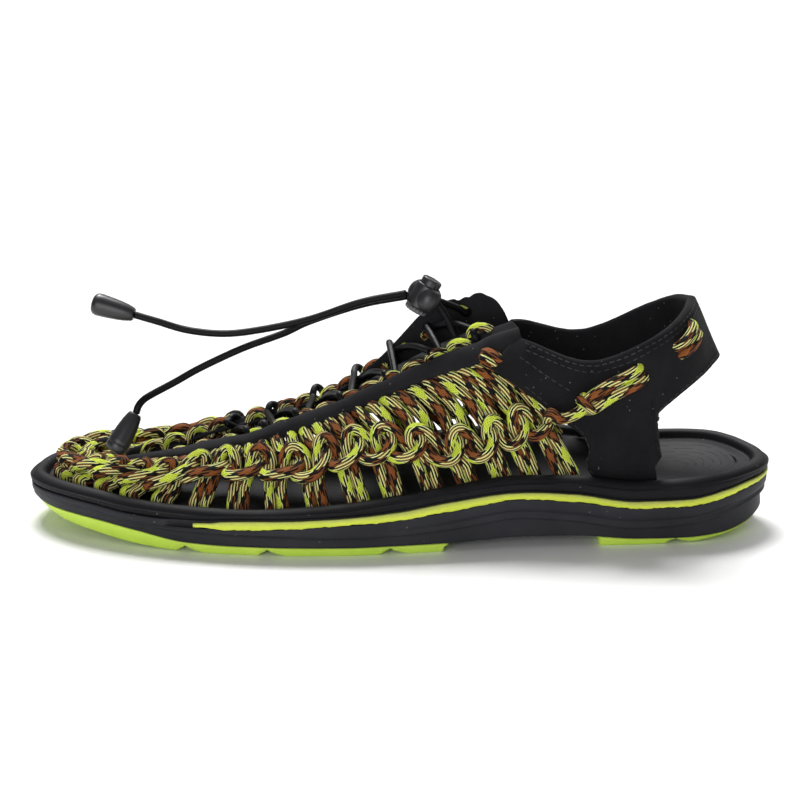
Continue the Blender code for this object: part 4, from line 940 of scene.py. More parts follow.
def wovenCords(rows, frontRows, middles, sink, tilt):
    # Cords laid by mirrored rows round each middle. The slant lifts the end that points to the heel, the
    # drift moves the turn along the row, and the tilt turns the first ones at the toe.
    middles = np.asarray(middles, float)[:, None]
    fromRear = np.minimum(middles, wall["count"] - 1 - middles)
    onInner = middles > wall["middle"]
    facing = np.where(onInner, -1.0, 1.0)
    drift = facing * np.interp(fromRear, np.arange(len(weave["drift"])), weave["drift"])

    def mirrored(half):
        half = np.array(half, float)
        return np.concatenate([half[:0:-1] * (-1, 1, 1, 1, 1), half]).T[:, None, :]

    def between(low, high):
        return np.clip((fromRear - low) / (high - low), 0, 1)

    front = between(*weave["front"])
    across, rise, share, lift, slanted = mirrored(rows) * (1 - front) + mirrored(frontRows) * front
    lift = lift * (1 + weave["toeLift"] * between(*weave["toe"]))
    first = weave["toe"][0]
    lift = lift + across * facing * slanted * tilt * between(first, first + 1)
    lean = np.clip((middles - wall["middle"]) / 2.0, -1, 1) * weave["slant"] * wallPitch(middles)
    lean = lean * np.interp(fromRear, *weave["slantBy"])
    shift = np.where(onInner, np.interp(fromRear, *weave["innerShift"]), 0.0)
    spots = wallPoint(middles + shift + across + drift * slanted, rise + across * lean * slanted, share, lift)
    if sink:
        spots = np.concatenate([spots[:, :1] - (0, 0, sink), spots, spots[:, -1:] - (0, 0, sink)], 1)
    length = np.linalg.norm(np.diff(spots, axis=1), axis=-1).sum(1).mean()
    count = int(length * 1.05 / weave["step"])
    return np.stack([smoothPath(line, count) for line in spots])


def buildWeave():
    # Rings stand at whole modules and arches half way between; the two sides part at the middle of the toe.
    rings = wovenCords(weave["ring"] + weave["ringTop"], weave["ringFront"] + weave["ringTop"],
                       np.arange(wall["count"]), 0.0, weave["toeTilt"])
    arches = wovenCords(weave["arch"], weave["arch"], np.arange(wall["count"] - 1) + 0.5, weave["sink"], 0.0)
    radius = shoe["cord"] / 2
    split = wall["middle"]
    parts = {"outer": (rings[:split + 1], arches[:split]), "inner": (rings[split + 1:], arches[split:])}
    towardsEnds = np.abs(np.linspace(-1, 1, rings.shape[1])) ** 1.5
    widths = radius * (1 + weave["legWidth"] * towardsEnds)
    for name, (ring, arch) in parts.items():
        points, faces, uv = joined([tubes(ring, widths, weave["sides"], cordLook["stitch"]),
                                    tubes(arch, radius, weave["sides"], cordLook["stitch"])])
        replaced = ("upper_weave",) if name == "outer" else ()
        makePiece("woven_cords_" + name, points, faces, finishes["cord"], "braided_cord", replaced, uv)


buildWeave()
print("weave made")


# Throat strips: a closed section carried along the throat, a thick roll with a thin flange beside the throat.
strip = {
    "front": -112.0, "rear": 47.5, "stations": 260, "tabPower": 1.4,
    # x along the inner strip and the height of the tab that stands up from it
    "tab": ((-120, -34, -20, -13, -3.5, 3, 10.5, 15, 19.2, 21.8, 24.3, 26.5, 28.4, 29.9, 32.7, 34.7, 38.5,
             41.6, 45, 50),
            (0, 0, 2.5, 5.5, 10.5, 14.5, 19.2, 20.6, 21.4, 21.2, 19.6, 19.8, 18.9, 19.3, 18.5, 16.8, 13.5,
             8.5, 0.5, -5)),
    # share of the width from the lower edge, and lift off the foot's form
    "section": ((0.06, 1.2), (0.065, 2.3), (0.09, 3.3), (0.15, 4.1), (0.25, 4.6), (0.4, 4.85), (0.55, 4.9),
                (0.7, 4.8), (0.82, 4.4), (0.9, 3.8), (0.95, 3.1), (0.98, 2.5), (1.04, 2.15), (1.14, 2.05),
                (1.26, 1.95), (1.34, 1.75), (1.39, 1.35), (1.4, 0.95), (1.36, 0.6), (1.2, 0.45), (0.95, 0.4),
                (0.6, 0.45), (0.3, 0.55), (0.12, 0.7)),
    "reach": {outer: 1.0, inner: 1 / 1.4}, "rearSpread": 0.2,
    "cutLow": 7.0, "cutHigh": 5.0,      # how far the rear end is cut back at the lower edge and at the flange
    # room for a pair of cords in the outer strip's lower edge: place, half length, share of the width
    "notch": (35.8, 3.2, 0.28),
    # short cord runs on the flanges: x, half length, lift on the outer side by x, lift on the inner side,
    # shares of the width, that of the rearmost one, and thickness as a share of the cord's
    "bars": {outer: (32.2, 24.0, 16.0, 7.0, -2.0, -9.8, -17.5, -27.0, -35.0, -44.5, -54.5, -64.5, -75.0,
                     -85.0),
             inner: (15.8, 6.8, -9.0, -19.0, -25.8, -36.0, -42.8, -56.0, -70.8, -79.4, -89.0, -97.0)},
    "barHalf": 3.5, "barLift": ((-100.0, -40.0, -20.0, 0.0, 15.0, 32.0), (2.2, 2.2, 2.5, 2.8, 3.2, 4.0)),
    "innerLift": 4.6, "barShare": {outer: 1.15, inner: 1.05}, "rearShare": 1.42, "barCord": 0.82,
    # x, share and lift along the cord at the far tab, and along the pair that leaves the notch
    "farBar": ((24.0, 1.22, 3.4), (25.0, 1.21, 2.2), (26.3, 1.18, 1.6), (27.6, 1.14, 2.0), (28.6, 1.1, 3.4)),
    "pair": (((32.6, 0.52, 2.0), (35.5, 0.34, 4.3), (39.0, 0.05, 4.4), (42.4, -0.22, 2.4),
              (45.0, -0.4, 0.0)),
             ((31.2, 0.42, 1.6), (34.2, 0.21, 3.9), (37.6, -0.06, 4.0), (41.0, -0.32, 1.8),
              (43.5, -0.5, -0.6))),
    # lace holes: x, share of the width and depth of the dent
    "holes": {outer: (-57.5, -50.0, -38.0, -20.5, -3.0, 14.3, 30.8),
              inner: (-65.8, -49.5, -31.5, -14.8, -0.8, 12.0, 27.7)},
    "holeShare": 1.08, "holeDepth": 0.9,
}


def stripSpot(x, side, share, lift):
    # Point over the foot's form at a share of the way from the strip's lower edge to the throat. On the inner
    # side the tab then stands up by its height times a power of the share.
    x, share, lift = np.broadcast_arrays(*(np.asarray(a, float) for a in (x, share, lift)))
    low, up = lastAt("stripLow", x), lastAt("throat", x)
    if side < 0:
        share = share * (1 + strip["rearSpread"] * np.clip((x - 5) / 25, 0, 1))
    share = share * strip["reach"][side]
    spot = lastPoint(x, walk(x, side, low + (up - low) * share), lift)
    if side > 0:
        places, heights = strip["tab"]
        rise = smoothCurve(places, heights, np.clip(x, places[0], places[-1]))
        spot[..., 2] += rise * np.clip(share, 0, 1.3) ** strip["tabPower"]
    return spot


def buildStrips():
    # Soft dents stand where cord and lace go through; the roll waves a little; the rear end is rounded.
    section = np.array(strip["section"])
    share = section[:, 0]
    place, half, depth = strip["notch"]
    for side, name in ((outer, "outer"), (inner, "inner")):
        part = np.linspace(0, 1, strip["stations"])[:, None]
        rear = strip["rear"] - strip["cutLow"] * np.clip(1 - share / 0.3, 0, 1) ** 1.5
        rear = rear - strip["cutHigh"] * np.clip(share - 0.55, 0, 1) ** 2
        x = strip["front"] + (rear - strip["front"]) * part
        lift = np.broadcast_to(section[:, 1], x.shape).copy()
        top = lift > 1.5
        for spot in strip["holes"][side]:
            away = ((x - spot) / 2.6) ** 2 + ((share - strip["holeShare"]) * 8.5 / 2.4) ** 2
            lift -= strip["holeDepth"] * np.exp(-away) * top
        lift += top * (ragged(x, 0.10, 2.1, 5.3) + ragged(x + 9 * share, 0.09, 3.7, 1.3))
        lift *= np.clip((x - strip["front"]) / 9.0 + 0.35, 0, 1)             # the front ends run out flat
        spread = share + (share > 1.2) * ragged(x, 0.03, 4.4, 9.1)
        if side < 0:
            raised = depth * np.exp(-((x - place) / half) ** 2) + 0.1 * np.clip((x - place) / 4.0, 0, 1)
            spread = spread + raised * np.clip(1 - spread / 1.1, 0, 1)
        makePiece("throat_strip_" + name, *shell(stripSpot(x, side, spread, lift)), finishes["strip"],
                  "microfibre", ("eyestay_" + name,))


def buildBars():
    # Short runs of the upper cord that come up through one slit of a flange and go down through the next,
    # and the pair of cords that goes from the notch of the outer strip under the heel strap.
    def laid(side, rows):
        return smoothPath([stripSpot(x, side, share, lift) for x, share, lift in rows], 26)

    paths = [laid(inner, strip["farBar"])]
    along = np.array((-1.25, -1.0, -0.6, 0.0, 0.6, 1.0, 1.25))
    arc = np.array((-4.6, -2.4, -0.7, 0.0, -0.7, -2.4, -4.6))
    for side in (outer, inner):
        for k, x in enumerate(strip["bars"][side]):
            lift = np.interp(x, *strip["barLift"]) if side < 0 else strip["innerLift"]
            share = strip["rearShare"] if side < 0 and k == 0 else strip["barShare"][side]
            spots = stripSpot(x + along * strip["barHalf"], side, share - 0.05 * along, lift + arc)
            paths.append(smoothPath(spots, 26))
    paths += [laid(outer, rows) for rows in strip["pair"]]
    radius = np.full((len(paths), 1), shoe["cord"] / 2 * strip["barCord"])
    radius[-2:] = shoe["cord"] / 2
    points, faces, uv = tubes(np.stack(paths), radius, weave["sides"], cordLook["stitch"])
    makePiece("strip_cord_bars", points, faces, finishes["cord"], "braided_cord", (), uv)


tongue = {"front": -12.0, "length": 50.0, "bow": 6.0, "half": 20.0, "puff": 0.6, "stations": 60,
          "top": (-0.2, -2.2), "low": (-1.9, -1.6)}         # lift in the middle and its change at the edges


def buildTongue():
    # Padded flap under the lacing: a closed section across, thin at its edges.
    across = np.linspace(-1, 1, 41)
    part = np.linspace(0, 1, tongue["stations"])[:, None]
    x = tongue["front"] + tongue["length"] * part + tongue["bow"] * (across ** 2 - 0.5)
    y = np.stack([walk(x[:, k], outer if a < 0 else inner, np.full(len(x), abs(a) * tongue["half"]))
                  for k, a in enumerate(across)], 1)
    puff = tongue["puff"] * (1 - np.abs(across) ** 4) * np.sin(math.pi * np.clip(part * 1.02, 0, 1)) ** 0.3
    edge = np.clip(np.abs(across) * 1.6 - 0.6, 0, 1) ** 2
    top = lastPoint(x, y, tongue["top"][0] + puff + tongue["top"][1] * edge)
    low = lastPoint(x, y, tongue["low"][0] + tongue["low"][1] * edge)
    loop = np.concatenate([top, low[:, ::-1]], 1)
    makePiece("tongue_padded", *shell(loop), finishes["lining"], "lining_knit", ("tongue",))


buildStrips()
buildBars()
buildTongue()
print("throat made")

# Heel strap: lower and upper edge at stations from the throat round to the back of the heel.
strapColumns = ("xLow", "zLow", "outerLow", "innerLow", "xUp", "zUp", "outerUp", "innerUp")
strapRows = np.array((
    (35.0, 66.8, 21.0, 18.2, 45.8, 76.4, 14.8, 14.2), (49.5, 57.7, 26.8, 22.3, 52.8, 75.0, 19.8, 18.8),
    (61.0, 49.0, 28.0, 23.4, 59.5, 73.2, 23.0, 22.0), (71.0, 41.0, 27.4, 23.0, 66.0, 71.6, 25.5, 24.0),
    (74.0, 33.0, 26.6, 22.2, 70.5, 71.0, 26.5, 25.0), (75.5, 24.4, 25.9, 21.3, 74.5, 71.2, 27.0, 25.4),
    (87.0, 23.0, 25.6, 21.6, 82.0, 73.4, 27.3, 25.6), (98.8, 22.4, 24.6, 21.6, 89.5, 76.8, 27.0, 25.4),
    (95.0, 38.0, 25.2, 22.4, 94.5, 79.4, 26.3, 25.0), (95.5, 47.0, 25.4, 23.2, 99.0, 82.0, 24.4, 23.6),
    (104.5, 55.8, 22.0, 21.0, 103.3, 84.6, 20.6, 20.2), (115.0, 61.8, 13.5, 13.0, 108.0, 87.6, 12.5, 12.5),
    (122.8, 64.5, 0.0, 0.0, 111.3, 89.4, 0.0, 0.0),
), float)
strapEnd = len(strapRows) - 1
strap = {
    "thick": 3.4, "bulge": 1.6, "swell": 12.0, "stations": 180, "pad": 0.9, "frontThin": 1.6,
    # rows of stitches: first and last station, distances from the edge there, and which edge
    "stitchRows": ((0.6, 11.98, 1.9, 1.9, "up"), (0.7, 11.98, 4.2, 4.2, "up"), (0.55, 2.6, 7.2, 13.0, "up"),
                   (0.9, 4.9, 2.4, 2.4, "low"), (7.2, 11.98, 2.4, 2.4, "low")),
    "stitch": 1.6, "stitchGap": 1.2, "thread": 0.27, "threadUp": 0.18,
}


def strapFace(where, up, side):
    # A straight line from the lower to the upper edge at a station, bulged outwards by a sine of the height.
    at = np.clip(where, 0, strapEnd)
    table = {name: smoothCurve(np.arange(len(strapRows)), strapRows[:, k], at)
             for k, name in enumerate(strapColumns)}
    name = "outer" if side < 0 else "inner"
    yLow, yUp = side * table[name + "Low"], side * table[name + "Up"]
    floor = rimAt(table["xLow"], side) - shoe["rimFloor"] + shoe["gap"] * 1.5
    zLow = np.maximum(table["zLow"], floor)
    reach = np.minimum(1, table[name + "Low"] / strap["swell"])
    swell = strap["bulge"] * np.sin(math.pi * np.clip(up, 0, 1)) * side * reach
    return np.stack([table["xLow"] + (table["xUp"] - table["xLow"]) * up, yLow + (yUp - yLow) * up + swell,
                     zLow + (table["zUp"] - zLow) * up], -1)


def strapSpot(where, up, side, lift):
    # Point off the strap's inner face at a station and a share of its height, along the face's normal.
    where, up, lift = np.broadcast_arrays(*(np.asarray(a, float) for a in (where, up, lift)))
    small = 0.02
    ahead, behind = np.minimum(where + small, strapEnd), np.maximum(where - small, 0)
    along = strapFace(ahead, up, side) - strapFace(behind, up, side)
    above, below = np.minimum(up + small, 1), np.maximum(up - small, 0)
    upward = strapFace(where, above, side) - strapFace(where, below, side)
    normal = np.cross(upward, along) * side
    normal = np.where((where > strapEnd - 1e-6)[..., None], normal * (1, 0, 1), normal)
    normal = unit(normal)
    facing = np.where((normal * (0.3, side, 0.0)).sum(-1, keepdims=True) < 0, -1.0, 1.0)
    return strapFace(where, up, side) + normal * facing * lift[..., None]


def strapHeight(where, side):
    # Length of the straight line between the strap's edges at a station.
    low, high = (strapFace(where, np.full_like(where, up), side) for up in (0.0, 1.0))
    return np.linalg.norm(high - low, axis=-1)


def buildStrap():
    # Outer face up, rounded top edge, then the padded lining down: one closed section at each station.
    edge = np.array((0.0, 0.006, 0.02, 0.045, 0.09))
    climb = np.concatenate([edge, np.linspace(0.14, 0.86, 19), 1 - edge[::-1]])
    turned = np.clip(np.minimum(climb, 1 - climb) / 0.06, 0, 1)
    turned = np.sqrt(1 - (1 - turned) ** 2)
    half = strap["thick"] / 2
    over = half + (half + 0.1) * turned
    under = half - (half - 0.1) * turned - strap["pad"] * np.sin(math.pi * climb) ** 0.6
    sections = []
    for side in (outer, inner):
        where = np.linspace(0, strapEnd, strap["stations"])[:, None]
        crease = ragged(where * 9 + climb * 5, 0.10, 2.9, 1.7) + ragged(where * 4 - climb * 12, 0.12, 1.9)
        # the front end lies under the throat strip
        thin = np.clip(1 - where / 1.3, 0, 1) ** 1.5 * strap["frontThin"]
        loop = np.concatenate([strapSpot(where, climb, side, over + crease * turned - thin),
                               strapSpot(where, climb[::-1], side, under[::-1] - thin * 0.4)], 1)
        floor = rimAt(loop[..., 0], side) - shoe["rimFloor"] - 1.0
        loop[..., 2] = np.maximum(loop[..., 2], floor)
        sections.append(loop)
    whole = np.concatenate([sections[0], sections[1][:-1][::-1]])
    piece = makePiece("heel_strap_padded", *shell(whole), finishes["microfibre"], "microfibre",
                      ("heel_strap",))


def buildStitches():
    # Short rounded threads at even steps along each row.
    threads = []
    for first, final, start, stop, edge in strap["stitchRows"]:
        for side in (outer, inner):
            where = np.linspace(first, final, 400)
            share = np.linspace(start, stop, len(where)) / strapHeight(where, side)
            up = 1 - share if edge == "up" else share
            line = strapSpot(where, up, side, strap["thick"] + strap["threadUp"])
            run = np.linalg.norm(np.diff(line, axis=0), axis=1).sum()
            count = int(run / (strap["stitch"] + strap["stitchGap"]))
            fine = evenPath(line, count * 12)
            threads.append(fine.reshape(count, 12, 3)[:, :9:2])
    threads = np.concatenate(threads)
    radius = strap["thread"] * np.array((0.55, 0.95, 1.0, 0.95, 0.55))
    points, faces, uv = tubes(threads, radius, 6, 1.0)
    makePiece("strap_stitches", points, faces, finishes["thread"], "microfibre", (), uv)


loops = {
    "spread": 4.3, "wrapTurns": 1.3, "wrapRun": 2.4, "wrapOut": 2.2, "wrapAside": 3.0, "wrapCord": 0.8,
    "wrapStart": 2.5, "heelShift": 4.0, "heelCord": 0.92,
    # foot of the side cord: place in modules from the rear pair of legs, share of the lower leg, and lift
    "stand": ((-0.30, -1.1, 1.6), (-0.26, -0.55, 2.0), (-0.22, -0.1, 2.4)),
    # station on the strap, share of its height and lift: the way to the turn, the turn, the runs behind it
    "lead": ((1.55, -0.12, 3.2), (2.0, 0.06, 2.6), (2.6, 0.28, 1.2), (3.2, 0.45, 0.6), (3.7, 0.57, 0.4)),
    "wrap": ((3.35, 0.49, 0.3), (3.55, 0.53, 0.3), (3.75, 0.57, 0.3)),
    "runs": ((3.4, 0.5, 0.2), (3.8, 0.56, 0.5), (4.6, 0.665, 0.4), (5.6, 0.755, 0.2), (6.5, 0.80, -0.2),
             (6.9, 0.812, -2.4), (7.05, 0.82, -4.1)),
    "apart": (0.55, 0.75, 1.0, 1.0, 1.0, 1.0, 1.0),
    "heel": ((10.02, 0.615, -4.1), (10.08, 0.62, -2.4), (10.22, 0.635, -0.6), (10.5, 0.665, 0.0),
             (10.78, 0.70, -0.6), (10.92, 0.715, -2.4), (10.98, 0.72, -4.1)),
}


def buildLoops():
    # Side cord: it stands in the sole, goes behind the last knot to a wrapped turn on the strap, and on from
    # there as two runs side by side that enter the strap. Heel cord: two short runs side by side.
    radius = shoe["cord"] / 2
    lift = strap["thick"] + radius
    for side, name in ((outer, "outer"), (inner, "inner")):
        def run(rows, shifts):
            # Points over the strap, moved aside across the run.
            rows = np.array(rows, float)
            spots = strapSpot(rows[:, 0], rows[:, 1], side, rows[:, 2] + lift)
            middle = len(rows) // 2
            ahead = unit(spots[middle + 1] - spots[middle - 1])
            away = unit(strapSpot(*rows[middle, :2], side, rows[middle, 2] + lift + 4) - spots[middle])
            return spots + np.cross(ahead, away) * np.broadcast_to(shifts, len(rows))[:, None]

        def cords(kind, node, paths, thickness):
            points, faces, uv = tubes(np.stack(paths), thickness, weave["sides"], cordLook["stitch"])
            makePiece(kind + name, points, faces, finishes["cord"], "braided_cord", (node + name,), uv)

        stand = [wallPoint(place if side < 0 else wall["count"] - 1 - place, 0, share, off)
                 for place, share, off in loops["stand"]]
        lead = np.concatenate([stand, run(loops["lead"], 0.0)])
        apart = np.array(loops["apart"]) * loops["spread"] / 2
        upper, lower = run(loops["runs"], apart), run(loops["runs"], -apart)
        middle = run(loops["wrap"], 0.0)
        axis = unit(middle[2] - middle[0])
        centre = loops["wrap"][1][:2]
        out = unit(strapSpot(*centre, side, lift + 4) - strapSpot(*centre, side, lift))
        aside = np.cross(axis, out)
        turn = np.linspace(0, 2 * math.pi * loops["wrapTurns"], 60)[:, None]
        angle = turn + loops["wrapStart"]
        wrap = (middle[0] + axis * (turn / turn[-1]) * loops["wrapRun"]
                + np.cos(angle) * out * loops["wrapOut"] + np.sin(angle) * aside * loops["wrapAside"])
        paths = [smoothPath(line, 90) for line in (lead, upper, lower, wrap)]
        thickness = np.array((1.0, 1.0, 1.0, loops["wrapCord"]))[:, None] * radius
        cords("side_cord_", "side_loop_", paths, thickness)
        paths = [smoothPath(run(loops["heel"], shift * loops["heelShift"]), 50) for shift in (-0.5, 0.5)]
        cords("heel_cord_", "heel_loop_", paths, radius * loops["heelCord"])


buildStrap()
buildStitches()
buildLoops()
print("heel strap made")

# Lace, lock and tips.
lock = {
    "centre": (10.2, -2.0, 90.6), "lean": 30.0, "turn": 42.0, "barrel": 5.0, "bore": 4.3, "slack": 0.3,
    "balls": (4.7, 4.2), "apart": 3.2, "ballUp": -0.2, "long": 0.82, "ribs": 14, "sides": 144,
    # radius and height of the foot from its middle outwards, then lower and upper end of the barrel
    "foot": ((0.01, -7.2), (2.8, -7.2), (3.6, -7.1), (4.1, -6.8), (4.3, -6.3), (4.3, -5.4), (4.5, -5.1),
             (4.8, -4.9)),
    "straight": (-4.6, 4.0),
}
ends = {
    "upper": ((3.3, -3.6, 91.7), (-14.0, -4.0, 88.3), (-33.7, -4.0, 81.6), (-53.4, -4.0, 77.3),
              (-67.5, -3.0, 75.6), (-81.5, -2.0, 76.8), (-93.5, -1.0, 80.1), (-101.8, 0.0, 82.3)),
    "lower": ((3.3, -0.4, 89.9), (-14.1, -0.7, 86.6), (-33.8, -0.8, 80.1), (-43.9, -2.0, 75.6),
              (-59.7, -4.5, 70.2), (-75.6, -6.5, 63.1), (-86.0, -8.8, 57.6), (-93.5, -11.2, 54.0),
              (-97.3, -13.2, 52.0), (-99.4, -14.6, 49.8), (-100.4, -15.4, 47.0)),
    # tips: share of the length and radius, and where the lower one has a moulded line round it
    "tipGap": 0.3, "tipLength": 17.0,
    "tip": ((0.0, 2.2), (0.015, 2.45), (0.05, 2.75), (0.1, 3.0), (0.2, 3.4), (0.35, 3.8), (0.5, 4.05),
            (0.7, 4.3), (0.82, 4.4), (0.88, 4.35), (0.93, 4.05), (0.97, 3.4), (0.99, 2.5), (1.0, 1.3)),
    "line": (0.775, 0.79, 0.805), "lineDepth": 0.3,
}


def turnedShell(profile, base, axis, aside, sides, change=None):
    # Solid of revolution: rows of radius and height about an axis; change alters both by the angle.
    profile = np.array(profile, float)
    turn = np.arange(sides) * 2 * math.pi / sides
    radius = np.broadcast_to(profile[:, :1], (len(profile), sides)).copy()
    height = np.broadcast_to(profile[:, 1:2], (len(profile), sides)).copy()
    if change is not None:
        radius, height = change(radius, height, turn)
    across = np.cross(axis, aside)
    out = np.cos(turn)[:, None] * aside + np.sin(turn)[:, None] * across
    return np.asarray(base) + radius[..., None] * out + height[..., None] * axis


def buildLaceEnds():
    # Each end is a tube along its route, and its tip is turned about the route's last direction.
    for name in ("upper", "lower"):
        path = smoothPath(ends[name], 150)
        points, faces, uv = tubes(path[None], shoe["lace"] / 2, 16, cordLook["stitch"])
        cord = makePiece("lace_run_" + name, points, faces, finishes["lace"], "elastic_lace",
                         ("lace_end_" + name,), uv)
        coarse = smoothPath(ends[name], 20)
        heading = unit(coarse[-1] - coarse[-2])
        aside = unit(np.cross(heading, (0.0, 1.0, 0.0)))
        rows = np.array(ends["tip"])
        if name == "lower":
            places = np.array(ends["line"])
            depth = np.interp(places, rows[:, 0], rows[:, 1]) - (0.0, ends["lineDepth"], 0.0)
            rows = np.vstack([rows, np.column_stack([places, depth])])
            rows = rows[np.argsort(rows[:, 0])]
        rows = np.concatenate([[(0.0, 1.0)], rows, [(1.002, 0.4)]])
        profile = np.column_stack([rows[:, 1], ends["tipGap"] + rows[:, 0] * ends["tipLength"]])
        section = turnedShell(profile, path[-1], heading, aside, 48)
        tip = makePiece("lace_toggle_" + name, *shell(section), finishes["plastic"], "black_plastic",
                        ("lace_tip_" + name,))
        length = np.linalg.norm(np.diff(path, axis=0), axis=1).sum() * mm


lacing = {
    # the lace at a hole: x from the hole, share of the strip's width and lift; at the inner strip's front
    # holes also the share of the row's extra height
    "outer": ((-0.8, 1.45, 3.6), (-0.3, 1.25, 3.9), (0.2, 1.1, 2.6), (0.8, 1.05, 0.6), (1.6, 1.2, -0.8),
              (2.2, 1.5, -0.6)),
    "inner": ((-1.8, 1.4, 3.0, 0), (-1.2, 1.2, 4.4, 0.6), (-0.2, 1.02, 6.0, 1), (1.1, 0.86, 6.2, 1),
              (2.2, 0.74, 4.8, 0.5), (2.2, 0.68, 1.5, 0), (1.0, 0.85, -0.8, 0), (-0.6, 1.3, -0.9, 0)),
    "extra": (-0.8, 0.0, 1.6, 2.2, 1.4),
    "tab": ((-1.0, 1.24, -2.0), (-0.6, 1.18, -1.1), (0.0, 1.15, 0.8), (0.8, 1.12, -0.9), (1.6, 1.14, -1.8)),
    "lastHole": ((-4.0, 0.75, 3.6), (-1.0, 1.0, 4.6), (0.2, 1.13, 3.0), (0.0, 1.15, 0.5), (-1.2, 1.17, -1.6)),
    # how far a run rises in its middle; the runs towards the outer strip lie slack from its third hole on
    "slack": 2.0, "tight": 0.6,
    # points on the way to the lock and back from it, and where both runs enter it, from its centre
    "toLock": ((26.5, -8.5, 69.5), (22.0, -5.0, 76.0), (19.6, -4.4, 81.4)), "fromLock": (22.8, 4.2, 84.6),
    "entries": ((5.0, -1.9, -2.4), (5.0, 1.9, -2.4)),
    "under": (-60.0, 16.0, 0.55, -1.9),       # way back under the far strip: x from and to, share, lift
}


def laceVisit(side, row):
    # At a hole the lace comes over the flange, goes down through it and leaves from under its edge. In the
    # tall tab it goes through from the inner face and back.
    x = strip["holes"][side][row]
    if side < 0:
        steps = lacing["outer"]
    elif row < len(lacing["extra"]):
        up = lacing["extra"][row]
        steps = [(ahead, share, lift + up * part) for ahead, share, lift, part in lacing["inner"]]
    else:
        steps = lacing["tab"]
    return [stripSpot(x + ahead, side, share, lift) for ahead, share, lift in steps]


def buildLace():
    # One lace: from the front it zigzags up the throat to the lock, and its other end comes back under the
    # far strip.
    stops = [(inner, 0), (outer, 0), (outer, 1), (inner, 1)]
    stops += [(side, row) for row in range(2, 6) for side in (outer, inner)] + [(outer, 6)]
    route = []
    for side, row in stops:
        visit = laceVisit(side, row)
        if route:
            slack = lacing["slack"] if side < 0 and row > 1 else lacing["tight"]
            route.append((route[-1] + visit[0]) / 2 + (0, 0, slack))
        route += visit
    entries = [np.array(lock["centre"]) + place for place in lacing["entries"]]
    route += [np.array(place) for place in lacing["toLock"]] + [entries[0]]
    front, rear, share, lift = lacing["under"]
    back = [stripSpot(x, inner, share, lift) for x in np.linspace(front, rear, 11)]
    hole = strip["holes"][inner][6]
    far = [stripSpot(hole + ahead, inner, share, lift) for ahead, share, lift in lacing["lastHole"]]
    other = back + far + [np.array(lacing["fromLock"]), entries[1]]
    path = smoothPath(np.array(other[::-1] + route), 900)
    points, faces, uv = tubes(path[None], shoe["lace"] / 2, 14, cordLook["stitch"])
    makePiece("lace_laced", points, faces, finishes["lace"], "elastic_lace", ("lace_crossings",), uv)


def buildLock():
    # Body: ribbed foot and a barrel with two balls on opposite sides, hollow from the top; each radius is the
    # widest of barrel and balls in that direction. The button is a plunger with a notched, dished crown.
    lean = math.radians(lock["lean"])
    axis = np.array((math.sin(lean), 0, math.cos(lean)))
    aside = np.array((math.cos(lean), 0, -math.sin(lean)))
    bore, barrel, foot = lock["bore"], lock["barrel"], lock["foot"]
    side = [(barrel, h) for h in np.linspace(*lock["straight"], 40)]
    inside = ((barrel - 0.15, 4.3), (barrel - 0.4, 4.45), (bore + 0.05, 4.45), (bore, 4.1), (bore, 2.0),
              (bore - 0.1, -5.5), (0.01, -5.6))
    rows = np.concatenate([foot, side, inside])
    number = np.arange(len(rows))[:, None]

    def change(radius, height, turn):
        ribbed = (radius > 3.5) & (height < -5.2) & (number < len(foot))
        radius = radius * np.where(ribbed, 1 + 0.05 * np.sign(np.cos(lock["ribs"] * turn)), 1.0)
        outside = (number >= len(foot)) & (number < len(foot) + len(side))
        near = math.radians(lock["turn"] - 90.0)
        for towards, ball in zip((near, near + math.pi), lock["balls"]):
            up = (height - lock["ballUp"]) * lock["long"]
            room = ball ** 2 - up ** 2 - (lock["apart"] * np.sin(turn - towards)) ** 2
            bulge = lock["apart"] * np.cos(turn - towards) + np.sqrt(np.maximum(room, 0.0))
            radius = np.where(outside & (room > 0), np.maximum(radius, bulge), radius)
        return radius, height

    section = turnedShell(rows, lock["centre"], axis, aside, lock["sides"], change)
    worn = np.repeat(np.clip((-5.2 - rows[:, 1]) / 0.8, 0, 1) * (rows[:, 0] > 2.0), lock["sides"])
    makePiece("lock_shell", *shell(section), finishes["plastic"], "black_plastic", ("lock_body",),
              marks={"worn": np.concatenate([worn, (0.0, 0.0)])})

    button = bore - lock["slack"]
    rows = ((0.01, -0.6), (button - 0.4, -0.6), (button, -0.2), (button, 4.4), (button, 4.8), (button, 6.6),
            (button - 0.15, 6.95), (button - 0.5, 7.2), (button - 0.9, 7.2), (button - 1.2, 6.9), (1.2, 6.8),
            (0.01, 6.8))

    def notched(radius, height, turn):
        slot = np.abs(np.sin(turn + math.radians(100.0 - lock["turn"]))) < 0.13
        return radius * np.where((height > 4.6) & (radius > 2.0) & slot, 0.8, 1.0), height

    section = turnedShell(rows, lock["centre"], axis, aside, lock["sides"], notched)
    makePiece("lock_plunger", *shell(section), finishes["plastic"], "black_plastic", ("lock_button",),
              body="press_button")


buildLaceEnds()
buildLace()
buildLock()
print("lace and lock made")

# Camera at the photograph's angle, pale floor and soft studio light.
view = {"target": (0.001, 0.0, 0.0484), "azimuth": 0.4, "elevation": 14.5, "distance": 0.750, "lens": 86.13,
        "floor": 20.0}                  # half of the floor's side


def aim(thing, place, target):
    # Stands at the place with its -Z axis towards the target.
    thing.location = place
    thing.rotation_euler = (Vector(target) - Vector(place)).to_track_quat("-Z", "Y").to_euler()
    bpy.context.scene.collection.objects.link(thing)


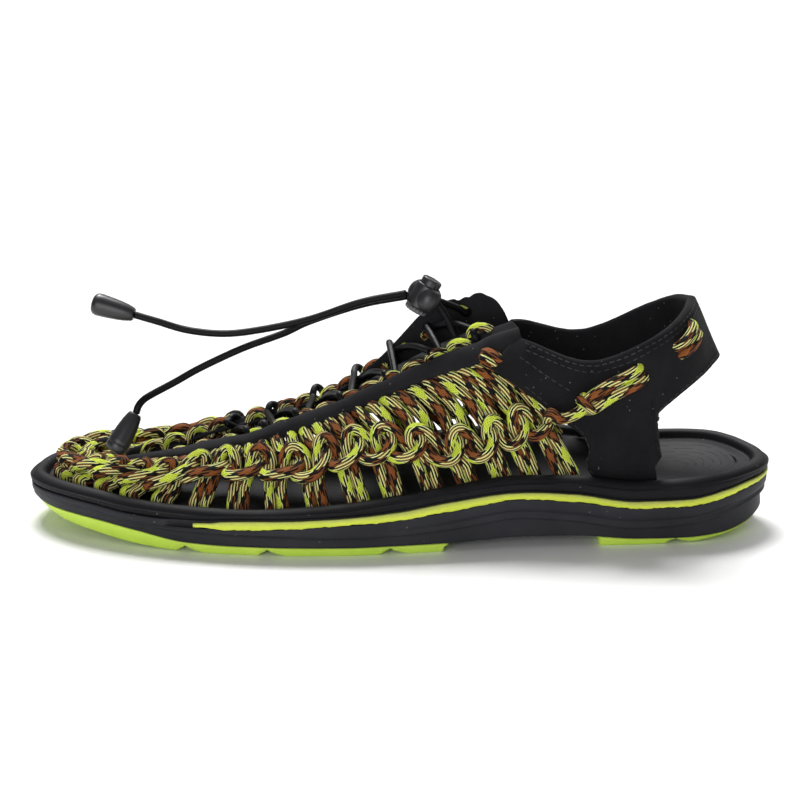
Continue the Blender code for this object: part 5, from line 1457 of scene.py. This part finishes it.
def addCamera():
    # At the distance from the target, turned round it by the azimuth and up by the elevation.
    a, e = math.radians(view["azimuth"]), math.radians(view["elevation"])
    back = np.array((math.sin(a) * math.cos(e), -math.cos(a) * math.cos(e), math.sin(e)))
    eye = bpy.data.cameras.new("camera")
    eye.lens, eye.sensor_width = view["lens"], 36.0
    eye.clip_start, eye.clip_end = 0.01, 100.0
    camera = bpy.data.objects.new("camera", eye)
    aim(camera, tuple(np.array(view["target"]) + back * view["distance"]), view["target"])
    bpy.context.scene.camera = camera


lights = {"front": ((-0.4, -1.4, 0.28), 0.9, 12.0), "back": ((0.7, 0.9, 0.9), 0.9, 4.0)}
sky = {"sun": 4.2, "sunFrom": (-0.15, 0.6, 1.0), "sunSpread": 26.0, "horizon": 0.16, "zenith": 0.36}


def addLight():
    # A broad soft light from above, two smaller ones, and a room that is brighter overhead than at the sides.
    for name, (place, size, power) in lights.items():
        lamp = bpy.data.lights.new(name, "AREA")
        lamp.size, lamp.energy = size, power
        aim(bpy.data.objects.new(name, lamp), place, (0.0, 0.0, 0.03))
    lamp = bpy.data.lights.new("broad", "SUN")
    lamp.energy, lamp.angle = sky["sun"], math.radians(sky["sunSpread"])
    aim(bpy.data.objects.new("broad", lamp), sky["sunFrom"], (0.0, 0.0, 0.0))
    world = bpy.data.worlds.new("studio")
    f = Finish("studio", world, Color=(1.0, 1.0, 1.0))
    up = f.parts(f.node("ShaderNodeTexCoord", {}, {}, "Generated"))[2]
    f.done(Strength=f.node("ShaderNodeMapRange", {}, {0: up, 3: sky["horizon"], 4: sky["zenith"]}))
    bpy.context.scene.world = world
    bpy.context.scene.view_settings.view_transform = "Standard"     # keeps white paper white


def addFloor():
    # A wide pale floor, lightly clouded.
    f = Finish("paleFloor", Roughness=0.35, Specular_IOR_Level=0.3)
    cloud = f.noise(f.place(), 0.01, 2.0)
    material = f.done(Base_Color=f.mix(cloud, (0.90, 0.90, 0.90), (0.92, 0.92, 0.92)))
    mesh = bpy.data.meshes.new("floor")
    half = view["floor"]
    corners = [(x * half, y * half, 0) for x, y in ((-1, -1), (1, -1), (1, 1), (-1, 1))]
    mesh.from_pydata(corners, [], [(0, 1, 2, 3)])
    mesh.materials.append(material)
    floor = bpy.data.objects.new("floor", mesh)
    bpy.context.scene.collection.objects.link(floor)


addCamera()
addLight()
addFloor()
print("studio made")
